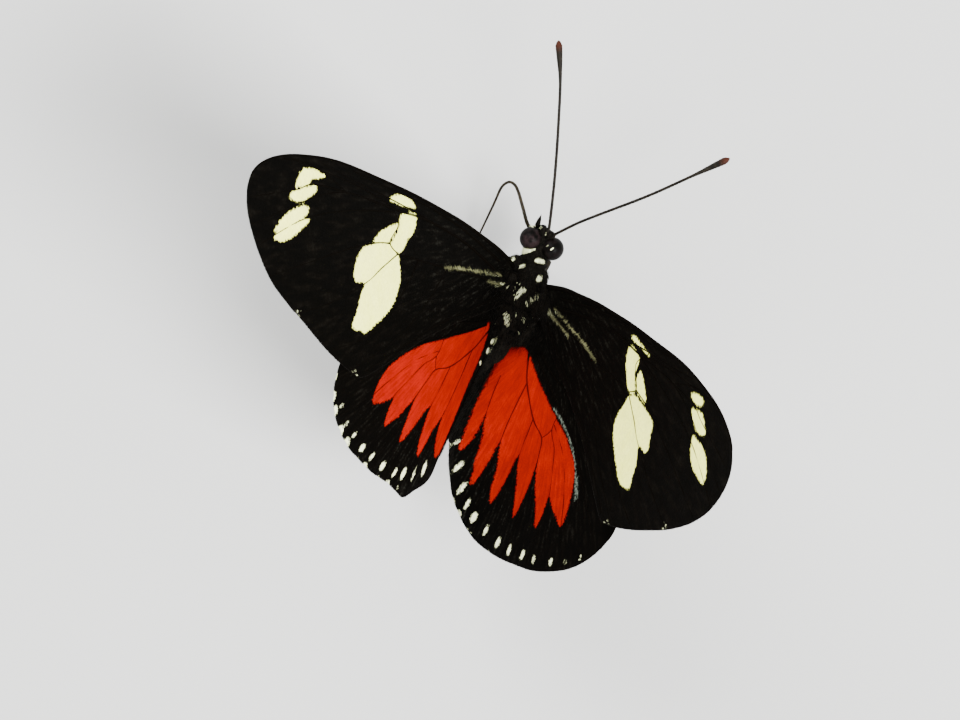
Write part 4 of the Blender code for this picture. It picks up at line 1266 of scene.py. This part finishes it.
def veinMaterial():
    material, wire, shader = newMaterial("vein", Roughness=0.9, Specular_IOR_Level=0.01)
    mottle = noiseOf(wire, objectPlace(wire), 4000.0)
    dark = mottle.blend(colours["black"], colours["blackWarm"])
    onRed = field(wire, "red").step(0.1, 0.5)
    onCream = field(wire, "cream").step(0.05, 0.3)
    base = onRed.blend(dark, mottle.blend(colours["redDeep"], colours["veinRed"]))
    base = onCream.blend(base, mottle.blend(colours["veinCream"], colours["veinCreamDeep"]))
    # the pale hairs of the streaks cross the vein beside them
    onStreak = (field(wire, "streak") + (mottle - 0.5) * 0.5).step(0.0, 0.3) * (1 - onRed)
    base = (onStreak * 0.25).blend(base, colours["straw"])
    link(shader, "Base Color", base)
    link(shader, "Normal", bumpOf(wire, mottle, 0.00002, 0.6))
    return material


def coatMaterial(name, brown):
    material, wire, shader = newMaterial(name, Roughness=0.65, Specular_IOR_Level=0.03, Sheen_Weight=0.003,
                                         Sheen_Roughness=0.4)
    shade, pale = field(wire, "shade"), field(wire, "pale")
    ground = objectPlace(wire)
    mottle = noiseOf(wire, ground, 1500.0)
    dark = (shade * 0.6 + mottle * 0.4).step(0.25, 0.85).blend(colours["black"], brown)
    light = shade.blend(colours["straw" if name == "wing_hair" else "bodyPale"], colours["white"])
    base = pale.step(0.3, 0.75).blend(dark, light)
    if name == "wing_hair":
        base = field(wire, "red").blend(base, mottle.blend(colours["redDeep"], colours["red"]))
    link(shader, "Base Color", base)
    link(shader, "Normal", bumpOf(wire, noiseOf(wire, ground, 9000.0), 0.00002, 0.7))
    return material


def eyeMaterial():
    material, wire, shader = newMaterial("eye_facets", Roughness=0.35, Specular_IOR_Level=0.022)
    ground = objectPlace(wire)
    facet = cellsOf(wire, ground, 17000.0, "Distance", 0.25, feature="DISTANCE_TO_EDGE")
    patch = noiseOf(wire, ground, 1100.0)
    # painted sheen: the top of each eye is paler than its rim, and the left one more than the right one
    base = (patch.step(0.36, 0.62) * field(wire, "shade")).blend(colours["eyeDark"], colours["eyeSheen"])
    base = facet.step(0.0, 0.12).blend(colours["facetEdge"], base)
    # painted glints on the right eye
    base = field(wire, "fleck").step(-0.02, 0.05).blend(base, colours["white"])
    link(shader, "Base Color", base)
    link(shader, "Normal", bumpOf(wire, facet, 0.00002, 0.5))
    return material


def chitinMaterial(name, dark, light, tip=None):
    material, wire, shader = newMaterial(name, Roughness=0.45, Specular_IOR_Level=0.05)
    ground = objectPlace(wire)
    mottle = noiseOf(wire, ground, 2600.0)
    scales = cellsOf(wire, ground, 9000.0, "Distance")
    base = mottle.step(0.35, 0.7).blend(dark, light)
    if tip is not None:
        base = (1 - field(wire, "toTip").step(0.3, 1.3)).blend(base, tip)
    link(shader, "Base Color", base)
    link(shader, "Normal", bumpOf(wire, scales * 0.7 + mottle * 0.5, 0.00002, 0.7))
    link(shader, "Roughness", 0.35 + mottle * 0.3)
    return material


# Everything together

materials = {
    "forewingUpper": wingMaterial("forewing_upper", "forewing", True),
    "forewingUnder": wingMaterial("forewing_under", "forewing", False),
    "hindwingUpper": wingMaterial("hindwing_upper", "hindwing", True),
    "hindwingUnder": wingMaterial("hindwing_under", "hindwing", False),
    "vein": veinMaterial(),
    "coat": coatMaterial("body_coat", colours["coatBrown"]),
    "fringe": coatMaterial("wing_fringe", colours["fringeBrown"]),
    "hair": coatMaterial("wing_hair", colours["hairBrown"]),
    "eye": eyeMaterial(),
    "feeler": chitinMaterial("feeler", colours["feeler"], colours["feelerPale"], colours["rust"]),
    "leg": chitinMaterial("leg", colours["leg"], colours["legPale"]),
    "tongue": chitinMaterial("tongue", colours["tongue"], colours["tonguePale"]),
}
print("materials made")

for name in wingShapes:
    kind = name.split("_")[0]
    sheet = buildWing(name, materials[kind + "Upper"], materials[kind + "Under"])
    buildVeins(name, sheet, materials["vein"])
    buildFringe(name, materials["fringe"])
    buildWingHair(name, materials["hair"])
print("wings made")

skin = buildSkin(materials["coat"])
buildCoat(skin, materials["coat"])
print("body and coat made")

for side, suffix in ((1, "_left"), (-1, "_right")):
    buildEye("eye" + suffix, side, materials["eye"])
    buildFeeler("antenna" + suffix, materials["feeler"])
    buildPalp("palp" + suffix, side, materials["coat"], materials["coat"])
    for name in legs:
        buildLeg(name, side, materials["leg"])
buildTongue(materials["tongue"])
print("head and legs made")

# Floor, lights and camera

studio = {
    "floor": (0.36, 0.36, 0.35, 1), "floorPale": (0.44, 0.44, 0.43, 1),
    "world": (0.9, 0.92, 0.95, 1), "worldStrength": 1.2,
    # place, size and power of each soft light, in metres and watts, all aimed at the model
    "lights": (((-0.35, 0.1, 0.55), 0.30, 16.5), ((0.40, -0.35, 0.45), 0.45, 10.0), ((0.1, 0.55, 0.3), 0.5, 6.0)),
}


def buildFloor():
    bpy.ops.object.select_all(action="DESELECT")
    bpy.ops.mesh.primitive_plane_add(size=3.0, location=(0, 0, 0))
    floor = bpy.context.object
    floor.name = "floor"
    material, wire, shader = newMaterial("floor", Roughness=0.7, Specular_IOR_Level=0.2)
    tone = noiseOf(wire, objectPlace(wire), 6.0)
    link(shader, "Base Color", tone.blend(studio["floor"], studio["floorPale"]))
    floor.data.materials.append(material)


def aim(obj, target, upward=(0, 1, 0)):
    back = (obj.location - Vector(target)).normalized()
    right = Vector(upward).cross(back).normalized()
    obj.rotation_mode = "QUATERNION"
    obj.rotation_quaternion = Matrix((right, back.cross(right), back)).transposed().to_quaternion()


def buildLights():
    for i, (spot, size, power) in enumerate(studio["lights"]):
        light = bpy.data.lights.new("soft" + str(i), "AREA")
        light.size = size
        light.energy = power
        lamp = bpy.data.objects.new("soft" + str(i), light)
        lamp.location = spot
        bpy.context.scene.collection.objects.link(lamp)
        aim(lamp, (0, 0, 0.01), (0, 0, 1))
    surround = bpy.data.worlds.new("studio")
    surround.use_nodes = True
    background = surround.node_tree.nodes["Background"]
    background.inputs[0].default_value = studio["world"]
    background.inputs[1].default_value = studio["worldStrength"]
    bpy.context.scene.world = surround


# the photo looks almost straight down on the insect; these are body millimetres and the picture's upward way
view = {"camera": (0.193, 0.965, 609.5), "target": (1.834, -5.773, 9.5), "upward": (0.342, -0.940, 0.0),
        "lens": 234.0, "sensor": 36.0}


def buildCamera():
    data = bpy.data.cameras.new("camera")
    data.lens = view["lens"]
    data.sensor_width = view["sensor"]
    data.clip_start, data.clip_end = 0.01, 10
    camera = bpy.data.objects.new("camera", data)
    bpy.context.scene.collection.objects.link(camera)
    camera.location = Vector(world(view["camera"])) * toMetres
    aim(camera, Vector(world(view["target"])) * toMetres, view["upward"])
    bpy.context.scene.camera = camera


buildFloor()
buildLights()
buildCamera()
print("studio made")
